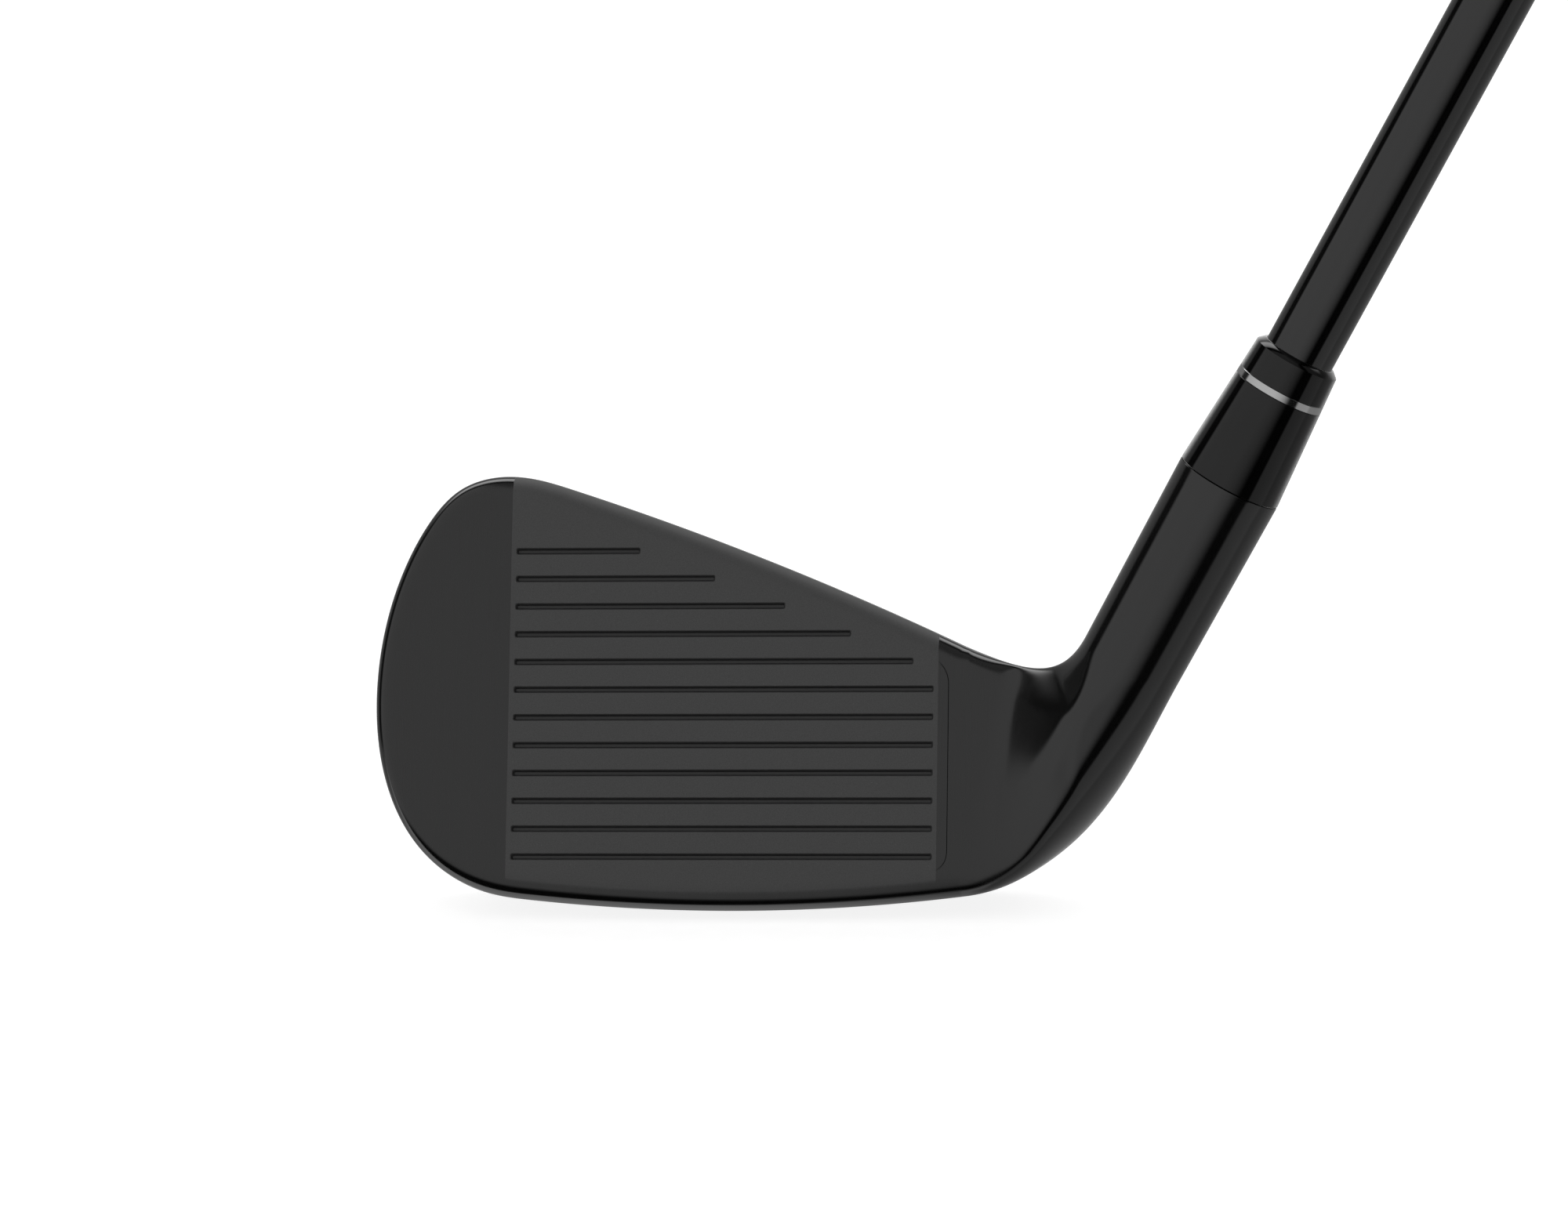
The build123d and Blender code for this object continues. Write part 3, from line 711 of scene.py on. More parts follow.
def groove_ends(height):
    """Where a scoreline starts at the toe and ends at the heel."""
    x = np.linspace(GROOVE_END_X, GROOVE_START_X, GROOVE_END_SAMPLES)
    inside = topline_height(x) - GROOVE_TOP_GAP >= height
    return GROOVE_START_X, x[inside][0]


def rounded_box(x0, x1, y0, y1, radius, steps=4):
    """A closed rectangle with round corners."""
    loop = []
    for cx, cy, turn in ((x1, y1, 0), (x0, y1, 1), (x0, y0, 2), (x1, y0, 3)):
        sx, sy = (-1 if cx == x1 else 1), (-1 if cy == y1 else 1)
        for step in range(steps + 1):
            angle = pi / 2 * (turn + step / steps)
            loop.append((cx + sx * radius + radius * cos(angle), cy + sy * radius + radius * sin(angle)))
    return np.array(loop)


def make_head(material):
    """Head body: blade edge and back, neck, hosel, and the pocket that the face is welded into."""
    head = Shape()
    grid = blade_grid()
    rows = [head.add(face_to_world(row)) for row in grid]
    count = len(rows[0])
    # The two halves of the last row are the same spine, so they share their points.
    for i in range(HALF_OUTLINE + 1, count):
        rows[-1][i] = rows[-1][count - 1 - i]
    for a, b in zip(rows, rows[1:]):
        head.strip(a, b)
    low, top = head.points[rows[0][-1]], head.points[rows[0][0]]
    face_line = head.add(np.linspace(low, top, FACE_LINE_STEPS + 1)[1:-1])
    ring = [row[0] for row in rows] + [row[-1] for row in reversed(rows[:-1])] + face_line
    previous = ring
    for points in neck_rings(np.array([head.points[i] for i in ring])):
        current = head.add(points)
        head.strip(previous, current, closed=True)
        previous = current
    head.faces.append(list(previous))
    # Front rim between the rounding and the welded face, then the pocket behind the face.
    rim, dip, wall = seam_loops(head, -1)
    head.fill([rows[0] + face_line, rim])
    head.strip(rim, dip, closed=True)
    head.strip(dip, wall, closed=True)
    head.fill([wall])
    head.build("head_shell", material, "head_body", "black_steel", [port_cutter()])


def groove_loops():
    """Growth of the outline and depth of each loop down a scoreline: its rounded lip, its wall, its floor."""
    loops = []
    for step in range(GROOVE_LIP_STEPS + 1):
        angle = GROOVE_LIP_TURN * step / GROOVE_LIP_STEPS
        loops.append((GROOVE_LIP_R * (1 - sin(angle)), GROOVE_LIP_R * (1 - cos(angle))))
    slide = GROOVE_HALF - GROOVE_FLOOR_HALF
    loops.append((-GROOVE_BEND[0] * slide, GROOVE_BEND[1] * GROOVE_DEPTH))
    return [*loops, (-slide, GROOVE_DEPTH)]


def make_face(material):
    """The welded face plate with its scorelines."""
    face = Shape()
    front, dip, back = seam_loops(face, 1)
    holes = []
    for row in range(GROOVE_COUNT):
        height = GROOVE_MIDDLE + (row - (GROOVE_COUNT - 1) / 2) * GROOVE_PITCH
        x0, x1 = groove_ends(height)
        loops = []
        for grow, depth in groove_loops():
            half = GROOVE_HALF + grow
            box = rounded_box(x0 - grow, x1 + grow, height - half, height + half, GROOVE_CORNER * half)
            loops.append(face.add(on_face(box, depth)))
        for a, b in zip(loops, loops[1:]):
            face.strip(a, b, closed=True)
        face.fill(loops[-1:])
        holes.append(loops[0])
    face.fill([front, *holes])
    face.strip(front, dip, closed=True)
    face.strip(dip, back, closed=True)
    face.fill([back])
    face.build("strike_face", material, "face_insert", "blasted_black_steel")


def full_turn(count):
    """Evenly spaced angles round an axis."""
    return np.linspace(0, 2 * pi, count, endpoint=False)


def turn(spindle, profile, count=ROUND_STEPS):
    """A closed turned shape: a profile of (radius, distance) pairs, its last pair joined to its first."""
    shape = Shape()
    angles = full_turn(count)
    rows = []
    for radius, distance in profile:
        if radius == 0:
            rows.append(shape.add(spindle.circle(distance, 0, angles[:1])) * count)
        else:
            rows.append(shape.add(spindle.circle(distance, radius, angles)))
    for a, b in zip(rows, rows[1:] + rows[:1]):
        if len(set(a)) > 1 or len(set(b)) > 1:
            shape.strip(a, b, closed=True)
    return shape


def arc(centre, radius, start, end, steps=6):
    """Points of a round profile corner; angles in degrees from the outward radius towards the butt."""
    angles = [radians(start + (end - start) * step / steps) for step in range(steps + 1)]
    return [(centre[0] + radius * cos(a), centre[1] + radius * sin(a)) for a in angles]


def shaft_radius(distance):
    """Outer radius of the shaft: a parallel tip, then a straight taper."""
    share = np.clip((distance - SHAFT_PARALLEL_END) / (SHAFT_TAPER_END - SHAFT_PARALLEL_END), 0, 1)
    return SHAFT_TIP_R + (SHAFT_BUTT_R - SHAFT_TIP_R) * share


def ferrule_radius(height):
    """Outer radius of the ferrule at a height above the hosel."""
    return HOSEL_TOP_R + (FERRULE_TOP_R - HOSEL_TOP_R) * height / FERRULE_LENGTH


def make_shaft(material):
    """A tapered tube: rounded tip edge, parallel tip, long taper, parallel butt."""
    spans = np.concatenate([[SHAFT_PARALLEL_END], np.linspace(SHAFT_PARALLEL_END, SHAFT_TAPER_END, 40)[1:]])
    outer = [(SHAFT_TIP_R - SHAFT_EDGE, BORE_BOTTOM), (SHAFT_TIP_R, BORE_BOTTOM + SHAFT_EDGE)]
    outer += [(shaft_radius(at), at) for at in spans]
    outer += [(SHAFT_BUTT_R, CAP_START - SHAFT_EDGE), (SHAFT_BUTT_R - SHAFT_EDGE, CAP_START)]
    inner = [(SHAFT_BUTT_R - SHAFT_BUTT_WALL, CAP_START), (SHAFT_BUTT_R - SHAFT_BUTT_WALL, SHAFT_TAPER_END)]
    inner += [(SHAFT_TIP_R - SHAFT_TIP_WALL, at) for at in (SHAFT_PARALLEL_END, BORE_BOTTOM)]
    turn(SHAFT, outer + inner).build("shaft_tube", material, "shaft", "shaft_black")


def on_ferrule(*spots):
    """Profile points from pairs: a height above the hosel, and how far the point lies under the cone."""
    return [(ferrule_radius(height) - under, HOSEL_TOP + height) for height, under in spots]


def ring_seat():
    """The ring's two inner corners, low and high."""
    seat = ferrule_radius(RING_AT) - RING_THICKNESS
    return [(seat, HOSEL_TOP + RING_AT), (seat, HOSEL_TOP + RING_AT + RING_HEIGHT)]


def make_ferrule(material):
    """The plastic cone over the hosel's top, grooved for its metal ring."""
    top = HOSEL_TOP + FERRULE_LENGTH
    ring_top = RING_AT + RING_HEIGHT
    shoulder = FERRULE_LENGTH - FERRULE_CHAMFER
    profile = [(SHAFT_TIP_R, HOSEL_TOP), (HOSEL_TOP_R - FERRULE_FOOT_EDGE, HOSEL_TOP)]
    profile += on_ferrule((FERRULE_FOOT_EDGE, 0), (RING_AT - FINE_EDGE, 0), (RING_AT, FINE_EDGE))
    profile += ring_seat()
    profile += on_ferrule((ring_top, FINE_EDGE), (ring_top + FINE_EDGE, 0), (shoulder - FINE_EDGE, 0))
    profile += [(FERRULE_TOP_R - FINE_EDGE, HOSEL_TOP + shoulder + FINE_EDGE)]
    profile += [(FERRULE_TOP_R - FERRULE_CHAMFER, top - FINE_EDGE), (SHAFT_TIP_R + FINE_EDGE, top)]
    profile += [(SHAFT_TIP_R, top - FINE_EDGE)]
    turn(SHAFT, profile).build("ferrule_cone", material, "ferrule", "ferrule_plastic")


def make_ferrule_ring(material):
    """The metal ring let into the ferrule, flush with it, its edges broken."""
    ring_top = RING_AT + RING_HEIGHT
    low, high = ring_seat()
    profile = [low, *on_ferrule((RING_AT, FINE_EDGE), (RING_AT + FINE_EDGE, 0))]
    profile += [*on_ferrule((ring_top - FINE_EDGE, 0), (ring_top, FINE_EDGE)), high]
    turn(SHAFT, profile).build("ferrule_band", material, "ferrule_ring", "ring_metal")


def grip_radius(along):
    """Outer radius of the grip, at a distance from its mouth, before its pattern is cut."""
    share = along / (CAP_START - GRIP_START)
    return GRIP_MOUTH_R + (GRIP_BUTT_R - GRIP_MOUTH_R) * share - 4 * GRIP_WAIST * share * (1 - share)


def grip_cut(along, angles):
    """Depth of the grip's pattern at a distance from the mouth."""
    radius = grip_radius(along)
    slopes = np.array([GRIP_HELICES / (2 * pi * radius), 1 / GRIP_HELIX_STEP])
    spacing = 1 / np.linalg.norm(slopes)
    turns = angles * GRIP_HELICES / (2 * pi)
    length = along / GRIP_HELIX_STEP
    cut = 0 * angles
    to_middle = []
    for helix in (turns + length, turns - length):
        off_line = np.abs(helix - np.round(helix))
        cut = np.maximum(cut, GRIP_GROOVE_DEPTH * np.exp(-((off_line * spacing / GRIP_GROOVE_HALF) ** 2)))
        to_middle.append((0.5 - off_line) * spacing)
    away = np.hypot(*to_middle)
    cut = cut + GRIP_DIMPLE_DEPTH * np.exp(-((away / GRIP_DIMPLE_R) ** 2))
    field, rings = 1.0, 0.0
    for middle in GRIP_BANDS:
        gap = abs(along - middle)
        field *= smooth_step(GRIP_BAND_HALF, GRIP_BAND_HALF + GRIP_FIELD_EDGE, gap)
        rings += GRIP_RING_DEPTH * np.exp(-(((gap - GRIP_RING_GAP) / GRIP_RING_HALF) ** 2))
    for from_end in (along, CAP_START - GRIP_START - along):
        field *= smooth_step(GRIP_BANDS[0], GRIP_BANDS[0] + GRIP_FIELD_EDGE, from_end)
    return cut * field + rings


def make_grip(material):
    """The rubber sleeve: a rounded lip at the mouth, the cut pattern, a flat butt and a tapered bore."""
    shape = Shape()
    angles = full_turn(GRIP_COLUMNS)
    flat = np.ones(GRIP_COLUMNS)
    mouth_bore = shaft_radius(GRIP_START) + TAPE_THICKNESS
    rows = [shape.add(SHAFT.circle(GRIP_START, mouth_bore * flat, angles))]
    for radius, distance in arc((GRIP_MOUTH_R - GRIP_LIP_R, GRIP_START + GRIP_LIP_R), GRIP_LIP_R, -90, 0):
        rows.append(shape.add(SHAFT.circle(distance, radius * flat, angles)))
    steps = int((CAP_START - GRIP_START - GRIP_LIP_R) / GRIP_ROW_STEP)
    for along in np.linspace(GRIP_LIP_R, CAP_START - GRIP_START, steps)[1:]:
        radii = grip_radius(along) - grip_cut(along, angles)
        rows.append(shape.add(SHAFT.circle(GRIP_START + along, radii, angles)))
    for distance in (CAP_START, SHAFT_TAPER_END):
        rows.append(shape.add(SHAFT.circle(distance, (SHAFT_BUTT_R + TAPE_THICKNESS) * flat, angles)))
    for a, b in zip(rows, rows[1:] + rows[:1]):
        shape.strip(a, b, closed=True)
    shape.build("grip_rubber_sleeve", material, "grip_sleeve", "grip_rubber")


def make_cap(material):
    """The butt cap: round rim, a shallow dish with two rings, and the vent hole."""
    rim_top = CLUB_LENGTH - CAP_EDGE_R
    profile = [(VENT_R, CAP_START), (CAP_R - CAP_FOOT_EDGE, CAP_START), (CAP_R, CAP_START + CAP_FOOT_EDGE)]
    profile += arc((CAP_R - CAP_EDGE_R, rim_top), CAP_EDGE_R, 0, 90, 8)
    for radius in CAP_RINGS:
        for off, sink in CAP_RING_GROOVE:
            profile.append((radius + off, CLUB_LENGTH - sink))
    profile += arc((VENT_R + CAP_VENT_EDGE, CLUB_LENGTH - CAP_VENT_EDGE), CAP_VENT_EDGE, 90, 180, 4)
    turn(SHAFT, profile).build("butt_cap", material, "grip_cap", "grip_rubber")


def port_spindle():
    """The fill port's axis, square to the flat upper back, from its surface outwards."""
    x, height = PORT_AT
    spots = (x, height), (x + 1, height), (x, height + 1)
    spot, beside, above = face_to_world([(*at, upper_back_depth(*at)) for at in spots])
    along, across = beside - spot, above - spot
    out = np.cross(across, along)
    return Spindle(spot, out / np.linalg.norm(out), along / np.linalg.norm(along))


def port_cutter():
    """What the fill port takes out of the back: a countersunk mouth, the screw head's seat and its hole."""
    profile = [(0, -PORT_REACH), (PORT_SCREW_R, -PORT_REACH), (PORT_SCREW_R, -PORT_HEAD_HEIGHT)]
    profile += [(PORT_HEAD_R, -PORT_HEAD_HEIGHT), (PORT_HEAD_R, -PORT_MOUTH_EDGE)]
    mouth_r = PORT_HEAD_R + 2 * PORT_MOUTH_EDGE
    profile += [(mouth_r, PORT_MOUTH_EDGE), (mouth_r, PORT_REACH), (0, PORT_REACH)]
    return turn(port_spindle(), profile, 64)


def make_port_screw(material):
    """A low screw with a rounded rim and a hexagon socket."""
    top = -PORT_HEAD_SINK
    head_r = PORT_HEAD_R - PORT_CLEARANCE
    profile = [(0, -PORT_REACH), (PORT_SCREW_R - PORT_HEAD_EDGE, -PORT_REACH)]
    profile += [(PORT_SCREW_R, -PORT_REACH + PORT_HEAD_EDGE), (PORT_SCREW_R, -PORT_HEAD_HEIGHT)]
    profile += [(head_r, -PORT_HEAD_HEIGHT)]
    profile += arc((head_r - PORT_HEAD_EDGE, top - PORT_HEAD_EDGE), PORT_HEAD_EDGE, 0, 90, 5)
    sunk = top - PORT_SOCKET_EDGE
    profile += [(PORT_SOCKET_R + PORT_SOCKET_EDGE, top), (PORT_SOCKET_R, sunk), (0, sunk)]
    bottom = top - PORT_SOCKET_DEPTH
    socket = turn(port_spindle(), [(0, bottom), (PORT_SOCKET_R, bottom), (PORT_SOCKET_R, 1), (0, 1)], 6)
    screw = turn(port_spindle(), profile, 96)
    screw.build("port_screw", material, "fill_port_screw", "screw_steel", [socket])


class Paint:
    """A node tree being put together: values are numbers or other nodes' outputs."""

    def __init__(self, tree):
        self.tree = tree

    def feed(self, socket, value):
        """Joins an output to a socket, or sets the socket's number."""
        if isinstance(value, bpy.types.NodeSocket):
            self.tree.links.new(value, socket)
        else:
            socket.default_value = value

    def node(self, kind, inputs=(), **settings):
        """Adds a node with its settings, and feeds its inputs by name or number."""
        node = self.tree.nodes.new("ShaderNode" + kind)
        for name, value in settings.items():
            setattr(node, name, value)
        for key, value in dict(inputs).items():
            self.feed(node.inputs[key], value)
        return node

    def maths(self, operation, *values):
        """A Math node's result."""
        return self.node("Math", enumerate(values), operation=operation).outputs[0]

    def times(self, first, *others):
        """The product of values."""
        for other in others:
            first = self.maths("MULTIPLY", first, other)
        return first

    def dot(self, vector, direction):
        """The length of a vector along a direction."""
        node = self.node("VectorMath", {0: vector, 1: tuple(direction)}, operation="DOT_PRODUCT")
        return node.outputs["Value"]

    def ramp(self, value, low, high, to_low=0.0, to_high=1.0):
        """A smooth ramp from one number to another as a value goes from low to high."""
        inputs = {"Value": value, "From Min": low, "From Max": high, "To Min": to_low, "To Max": to_high}
        if low > high:
            inputs.update({"From Min": high, "From Max": low, "To Min": to_high, "To Max": to_low})
        return self.node("MapRange", inputs, interpolation_type="SMOOTHSTEP").outputs[0]

    def vary(self, noise, low, high):
        """A value that follows a noise from one number to another."""
        return self.ramp(noise, *NOISE_SPAN, low, high)

    def join(self, x, y, z):
        """A vector from three numbers."""
        return self.node("CombineXYZ", enumerate((x, y, z))).outputs[0]

    def noise(self, vector, size, detail=3.0):
        """Smooth noise from 0 to 1 whose grains are about size across."""
        return self.node("TexNoise", {"Vector": vector, "Scale": 1 / size, "Detail": detail}).outputs["Fac"]

    def blend(self, share, first, second):
        """A mix of two colours."""
        return self.node("Mix", {0: share, 6: colour(first), 7: colour(second)}, data_type="RGBA").outputs[2]

    def bump(self, height, distance, normal=None):
        """A bumped normal from a height of 0 to 1 that stands for a distance in millimetres."""
        inputs = {"Height": height, "Distance": distance * MM, "Strength": 1.0}
        if normal is not None:
            inputs["Normal"] = normal
        return self.node("Bump", inputs).outputs[0]


def colour(value):
    """A colour socket's value from a grey, a colour or an output."""
    if isinstance(value, bpy.types.NodeSocket):
        return value
    if isinstance(value, float):
        return (value, value, value, 1.0)
    return (*value, 1.0)


class Coat(Paint):
    """A material being painted; spot is the place on the object, in millimetres in the row frame."""

    def __init__(self, name):
        self.material = bpy.data.materials.new(name)
        self.material.use_nodes = True
        super().__init__(self.material.node_tree)
        self.shader = self.tree.nodes["Principled BSDF"]
        place = self.node("TexCoord").outputs["Object"]
        self.spot = self.node("VectorMath", {0: place, "Scale": 1 / MM}, operation="SCALE").outputs[0]

    def finish(self, **values):
        """Feeds the main shader's inputs, named as in the node with _ for a space, and gives the material."""
        for name, value in values.items():
            value = colour(value) if name == "Base_Color" else value
            self.feed(self.shader.inputs[name.replace("_", " ")], value)
        return self.material


def black_steel(name, painted_groove_shade=1.0):
    """The head's finish: satin black with fine upright brush lines, blasted between the score line ends,
    polished towards the hosel; its second argument is painted shade that dims the colour of what lies below
    the strike face, in the scorelines."""
    paint = Coat(name)
    x = paint.dot(paint.spot, (1, 0, 0))
    height = paint.dot(paint.spot, (0, sin(LOFT), cos(LOFT)))
    depth = paint.dot(paint.spot, (0, cos(LOFT), -sin(LOFT)))
    # Blasted zone: between two upright lines, on the front and the topline's rounding, above the sole's edge.
    side, inner, low = BLAST_SOFTNESS
    between = paint.ramp(paint.maths("ABSOLUTE", x), BLAST_HALF + side, BLAST_HALF - side)
    front = paint.ramp(depth, BLAST_DEPTH + inner, BLAST_DEPTH - inner)
    off_middle = paint.maths("SUBTRACT", x, SOLE_MID[0])
    curve = paint.maths("DIVIDE", paint.times(off_middle, off_middle), 2 * SOLE_RADIUS)
    above_sole = paint.maths("SUBTRACT", height, paint.maths("ADD", curve, SOLE_MID[1]))
    above = paint.ramp(above_sole, BLAST_FOOT - low, BLAST_FOOT + low)
    blasted = paint.times(between, front, above)
    # Brush lines run up the face, in two widths.
    stretched = paint.join(x, paint.times(height, BRUSH_STRETCH), depth)
    fine, broad = (paint.noise(stretched, size) for size in BRUSH_SIZES)
    brush = paint.maths("ADD", paint.times(fine, BRUSH_FINE_SHARE), paint.times(broad, 1 - BRUSH_FINE_SHARE))
    polish = paint.maths("MAXIMUM", paint.ramp(x, *POLISH_FROM_TO), paint.ramp(depth, *EDGE_POLISH))
    grit = paint.noise(paint.spot, GRIT_SIZE, 2.0)
    satin = paint.vary(brush, *SATIN_ROUGHNESS)
    smooth = paint.vary(paint.noise(paint.spot, 2.5), *HOSEL_ROUGHNESS)
    finish = paint.ramp(polish, 0.0, 1.0, satin, smooth)
    roughness = paint.ramp(blasted, 0.0, 1.0, finish, paint.vary(grit, *BLAST_ROUGHNESS))
    # Painted glints: a few grains in the blasted zone are given a lighter colour.
    glint_cells = paint.node("TexVoronoi", {"Vector": paint.spot, "Scale": 1 / GLINT_GAP})
    near = paint.ramp(glint_cells.outputs["Distance"], GLINT_SIZE, 0.4 * GLINT_SIZE)
    painted_glints = paint.times(near, paint.maths("GREATER_THAN", glint_cells.outputs["Color"], GLINT_SHARE), blasted)
    mottle = paint.ramp(grit, 0.2, 0.8, BLAST_GREY * 0.8, BLAST_GREY * 1.2)
    base = paint.ramp(blasted, 0.0, 1.0, SATIN_GREY, mottle)
    base = paint.maths("ADD", base, paint.times(painted_glints, PAINTED_GLINT_GREY))
    # Painted shade: the colour darkens below the strike face, inside the scorelines.
    base = paint.times(base, paint.ramp(depth, *PAINTED_SHADE_DEPTHS, 1.0, painted_groove_shade))
    brushed = paint.bump(paint.times(fine, paint.maths("SUBTRACT", 1.0, blasted)), BRUSH_BUMP)
    normal = paint.bump(paint.times(grit, blasted), BLAST_BUMP, brushed)
    ior = paint.ramp(polish, 0.0, 1.0, *STEEL_IOR)
    return paint.finish(Base_Color=base, Roughness=roughness, Normal=normal, IOR=ior)


def ferrule_plastic():
    """Glossy black plastic with a trace of polishing haze, and a painted rim highlight: its colour turns pale
    where it is seen edge on.
    """
    paint = Coat("ferrule_plastic")
    haze = paint.vary(paint.noise(paint.spot, 1.6), 0.03, 0.06)
    facing = paint.node("LayerWeight", {"Blend": 0.5}).outputs["Facing"]
    # Painted rim highlight: the colour turns pale towards the silhouette, and this is added to the grey
    # below.
    painted_rim_highlight = paint.ramp(facing, 0.55, 0.97, 0.0, 0.9)
    grey = paint.maths("ADD", paint.vary(paint.noise(paint.spot, 4.0), 0.0008, 0.0015), painted_rim_highlight)
    return paint.finish(Base_Color=grey, Roughness=haze, IOR=1.37)


def ring_metal():
    """Satin silver ring with turning marks round it."""
    paint = Coat("ring_metal")
    marks = paint.noise(paint.join(paint.dot(paint.spot, SHAFT_WAY), 0.0, 0.0), 0.05, 2.0)
    grey = paint.vary(marks, 0.34, 0.42)
    return paint.finish(Base_Color=grey, Metallic=1.0, Roughness=0.1, Normal=paint.bump(marks, 0.0015))


def shaft_lacquer():
    """Black lacquer: deep gloss with a very slight orange peel and fine lengthwise wipe marks."""
    paint = Coat("shaft_lacquer")
    along = paint.times(paint.dot(paint.spot, SHAFT_WAY), 0.02)
    wiped = paint.join(paint.dot(paint.spot, SHAFT_ACROSS), paint.dot(paint.spot, (0, 1, 0)), along)
    streaks = paint.noise(wiped, 0.5)
    gloss, grey = paint.vary(streaks, 0.05, 0.09), paint.vary(streaks, 0.0012, 0.002)
    normal = paint.bump(paint.noise(paint.spot, 1.8), 0.0012)
    return paint.finish(Base_Color=grey, Roughness=gloss, Normal=normal, IOR=1.5)


def grip_rubber():
    """Black rubber: matt, with a fine moulded grain and a worn, slightly greyer skin on its high spots."""
    paint = Coat("grip_rubber")
    grain = paint.noise(paint.spot, 0.25, 4.0)
    worn = paint.ramp(paint.node("NewGeometry").outputs["Pointiness"], 0.5, 0.56)
    grey = paint.vary(paint.noise(paint.spot, 14.0), 0.012, 0.017)
    grey = paint.maths("ADD", grey, paint.times(worn, 0.012))
    rough = paint.vary(grain, 0.55, 0.7)
    return paint.finish(Base_Color=grey, Roughness=rough, Normal=paint.bump(grain, 0.02), IOR=1.5)


def grained(name, dark, light, size, roughness, metallic=0.0, bump=0.01):
    """A plain stuff whose colour and surface vary with one noise: hidden pieces and the screw."""
    paint = Coat(name)
    grain = paint.noise(paint.spot, size, 4.0)
    tint = paint.blend(paint.vary(grain, 0.0, 1.0), dark, light)
    rough = paint.vary(grain, roughness - 0.06, roughness + 0.06)
    return paint.finish(Base_Color=tint, Metallic=metallic, Roughness=rough, Normal=paint.bump(grain, bump))


make_head(black_steel("black_steel"))
make_face(black_steel("blasted_black_steel", GROOVE_PAINTED_SHADE))
make_shaft(shaft_lacquer())
make_ferrule(ferrule_plastic())
make_ferrule_ring(ring_metal())
rubber = grip_rubber()
make_grip(rubber)
make_cap(rubber)
make_port_screw(grained("screw_steel", (0.02, 0.02, 0.021), (0.035, 0.035, 0.037), 0.4, 0.32, 0.9, 0.002))

INSIDE = {
    "toe_weight": grained("tungsten", (0.2, 0.2, 0.21), (0.3, 0.3, 0.32), 0.6, 0.42, 1.0),
    "foam_core": grained("foam", (0.62, 0.58, 0.45), (0.78, 0.74, 0.6), 0.9, 0.85, 0.0, 0.25),
    "hosel_adhesive": grained("epoxy", (0.3, 0.24, 0.1), (0.4, 0.34, 0.16), 1.5, 0.25),
    "tip_weight": grained("brass", (0.52, 0.36, 0.12), (0.66, 0.48, 0.2), 0.8, 0.3, 1.0, 0.004),
    "grip_tape": grained("tape", (0.55, 0.52, 0.44), (0.68, 0.65, 0.56), 0.5, 0.7, 0.0, 0.03),
}
for name, material in INSIDE.items():
    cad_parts[name].material_slots[0].material = material

towards = Vector((sin(CAMERA_AZIMUTH), -cos(CAMERA_AZIMUTH), 0))  # level, from the club to the camera
back = towards * cos(CAMERA_ELEVATION) + Vector((0, 0, sin(CAMERA_ELEVATION)))
level = Vector((0, 0, 1)).cross(towards)
right = level * cos(CAMERA_ROLL) + back.cross(level) * sin(CAMERA_ROLL)
up = back.cross(right)
camera_data = bpy.data.cameras.new("camera")
camera_data.lens, camera_data.sensor_width = CAMERA_LENS, CAMERA_SENSOR
camera = bpy.data.objects.new("camera", camera_data)
bpy.context.scene.collection.objects.link(camera)
camera.matrix_world = Matrix((right, up, back)).transposed().to_4x4()
camera.matrix_world.translation = CAMERA_EYE
bpy.context.scene.camera = camera


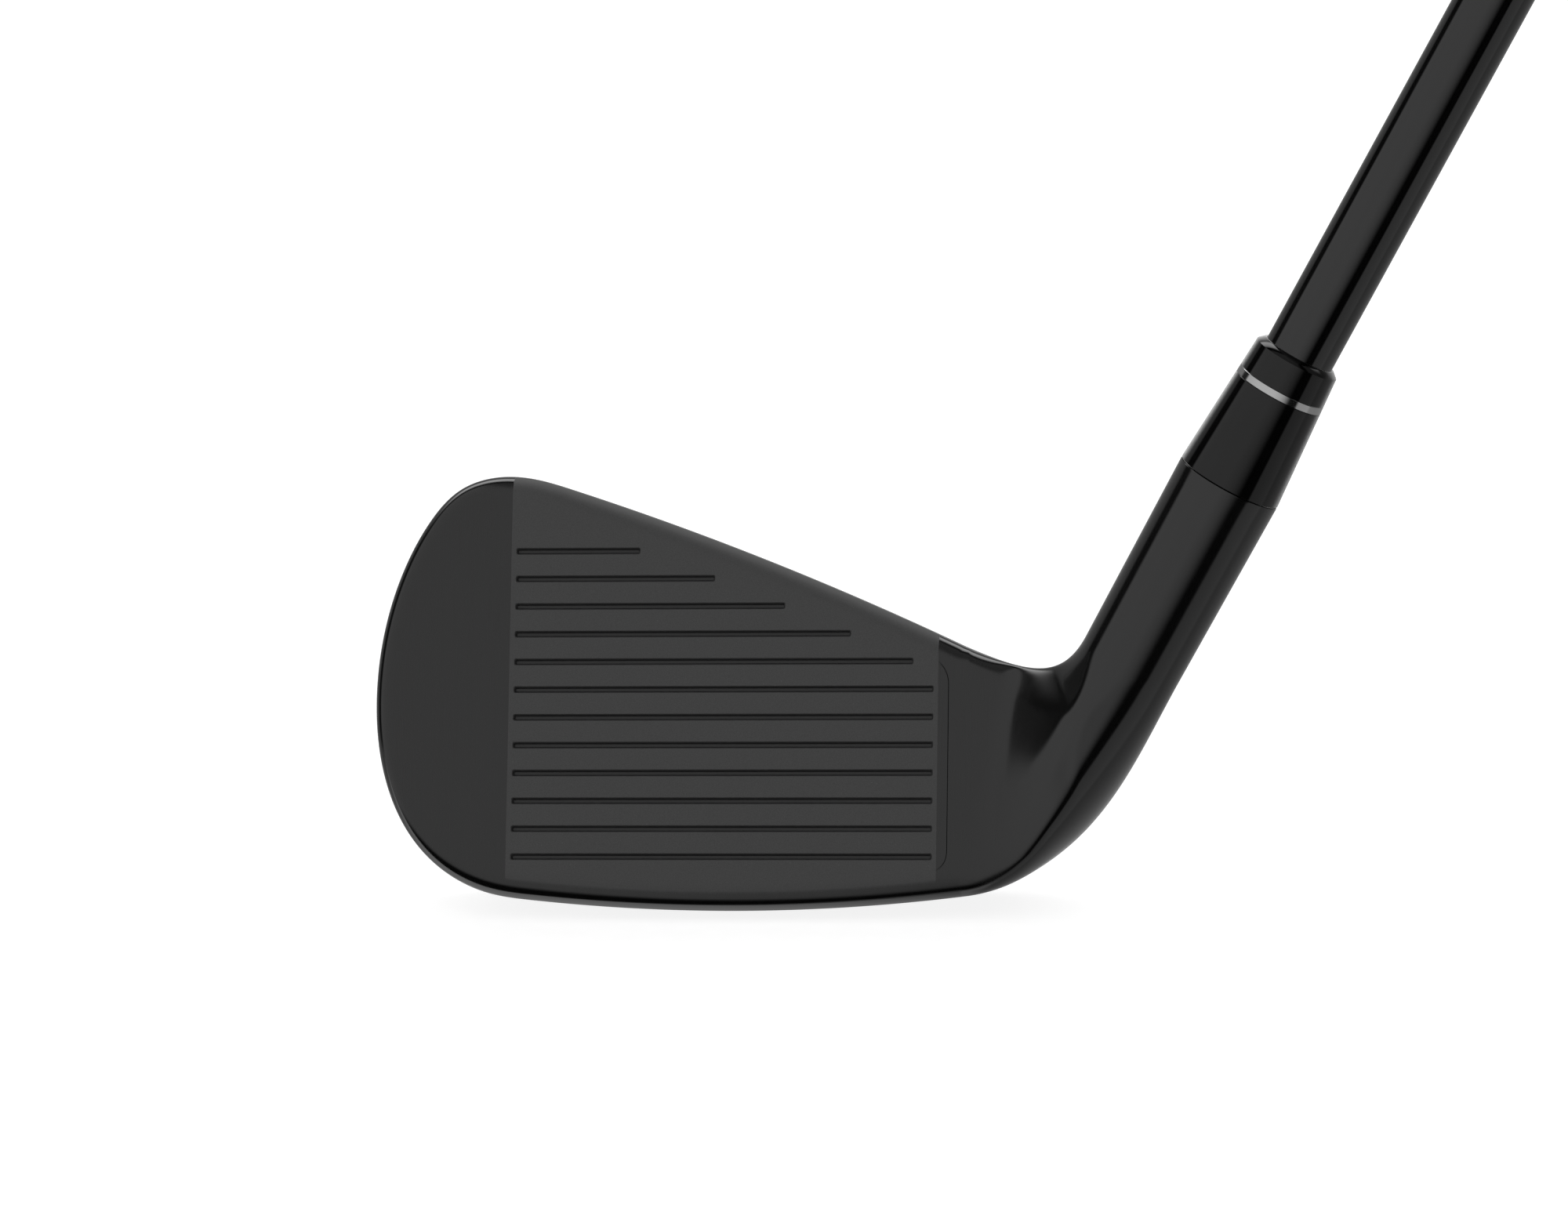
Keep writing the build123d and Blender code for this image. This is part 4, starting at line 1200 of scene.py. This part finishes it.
def make_studio():
    """Soft studio light as seen in the gloss: a broad light at the front left, a pale floor at the lower
    right, a dim back, dark gaps between them, and a tube light overhead and behind. Angles go round the
    shaft, from the camera's direction towards the heel side; reach is the sine of the angle along it."""
    world = bpy.data.worlds.new("studio")
    world.use_nodes = True
    bpy.context.scene.world = world
    world.cycles.sampling_method = "NONE"
    paint = Paint(world.node_tree)
    way = paint.node("TexCoord").outputs["Generated"]
    across = (STUDIO_TILT_COS * right - STUDIO_TILT_SIN * up).normalized()
    along = across.cross(back) * -1
    angle = paint.maths("ARCTAN2", paint.dot(way, across), paint.dot(way, back))
    reach = paint.dot(way, along)
    round_way = paint.node("ValToRGB", {"Fac": paint.maths("ADD", paint.maths("DIVIDE", angle, 2 * pi), 0.5)})
    stops = round_way.color_ramp.elements
    while len(stops) > 1:
        stops.remove(stops[-1])
    for index, (degrees, light) in enumerate(STUDIO_ROUND):
        stop = stops[0] if index == 0 else stops.new((degrees + 180) / 360)
        stop.position = (degrees + 180) / 360
        stop.color = (light, light, light, 1)
    uncut = paint.ramp(angle, *np.radians(STUDIO_UNCUT))
    low = paint.maths("MAXIMUM", paint.ramp(reach, *STUDIO_FOOT_EDGE), uncut)
    box = paint.times(round_way.outputs["Color"], paint.ramp(reach, *STUDIO_TOP_EDGE), low)
    height = paint.maths("ARCTAN2", paint.dot(way, (0, 0, 1)), paint.dot(way, (0, -1, 0)))
    off_tube = paint.maths("ABSOLUTE", paint.maths("SUBTRACT", height, radians(TUBE_HEIGHT)))
    tube = paint.ramp(off_tube, radians(TUBE_HALF * 1.5), radians(TUBE_HALF * 0.5), 0.0, TUBE_LIGHT)
    side = paint.dot(way, (1, 0, 0))
    tube = paint.times(tube, paint.ramp(paint.maths("ABSOLUTE", side), *TUBE_REACH))
    below = paint.ramp(height, *np.radians(FLOOR_LIGHT_SPAN), *FLOOR_LIGHT)
    for span in (FLOOR_LIGHT_NEAR, FLOOR_LIGHT_FAR):
        below = paint.times(below, paint.ramp(height, *np.radians(span)))
    below = paint.times(below, paint.ramp(side, *FLOOR_LIGHT_SIDE))
    box = paint.maths("MAXIMUM", box, below)
    light = paint.maths("ADD", paint.maths("ADD", box, tube), STUDIO_DARK)
    seen = paint.node("LightPath").outputs["Is Camera Ray"]
    light = paint.ramp(seen, 0.0, 1.0, light, 1.0)
    paint.feed(world.node_tree.nodes["Background"].inputs["Color"], light)


def make_floor():
    """A wide pale floor that takes a faint shadow; the gloss of the club sees the studio light through it."""
    mesh = bpy.data.meshes.new("floor")
    z = GROUND_Z * MM - FLOOR_GAP
    corners = [(FLOOR_REACH * x, FLOOR_REACH * y, z) for x, y in ((-1, -1), (1, -1), (1, 1), (-1, 1))]
    mesh.from_pydata(corners, [], [(0, 1, 2, 3)])
    floor = bpy.data.objects.new("floor", mesh)
    bpy.context.scene.collection.objects.link(floor)
    paint = Coat("floor_paper")
    fibre = paint.vary(paint.noise(paint.spot, 3.0), *FLOOR_GREY)
    mesh.materials.append(paint.finish(Base_Color=fibre, Roughness=0.9))
    path = paint.node("LightPath").outputs
    strength = paint.times(path["Is Camera Ray"], FLOOR_GLOW)
    glow = paint.node("Emission", {"Color": colour(1.0), "Strength": strength})
    lit = paint.node("AddShader", {0: paint.shader.outputs[0], 1: glow.outputs[0]})
    clear = paint.node("BsdfTransparent")
    shown = paint.node("MixShader", {0: path["Is Glossy Ray"], 1: lit.outputs[0], 2: clear.outputs[0]})
    paint.feed(paint.tree.nodes["Material Output"].inputs["Surface"], shown.outputs[0])


make_studio()
make_floor()
bpy.context.scene.view_settings.view_transform = "Standard"
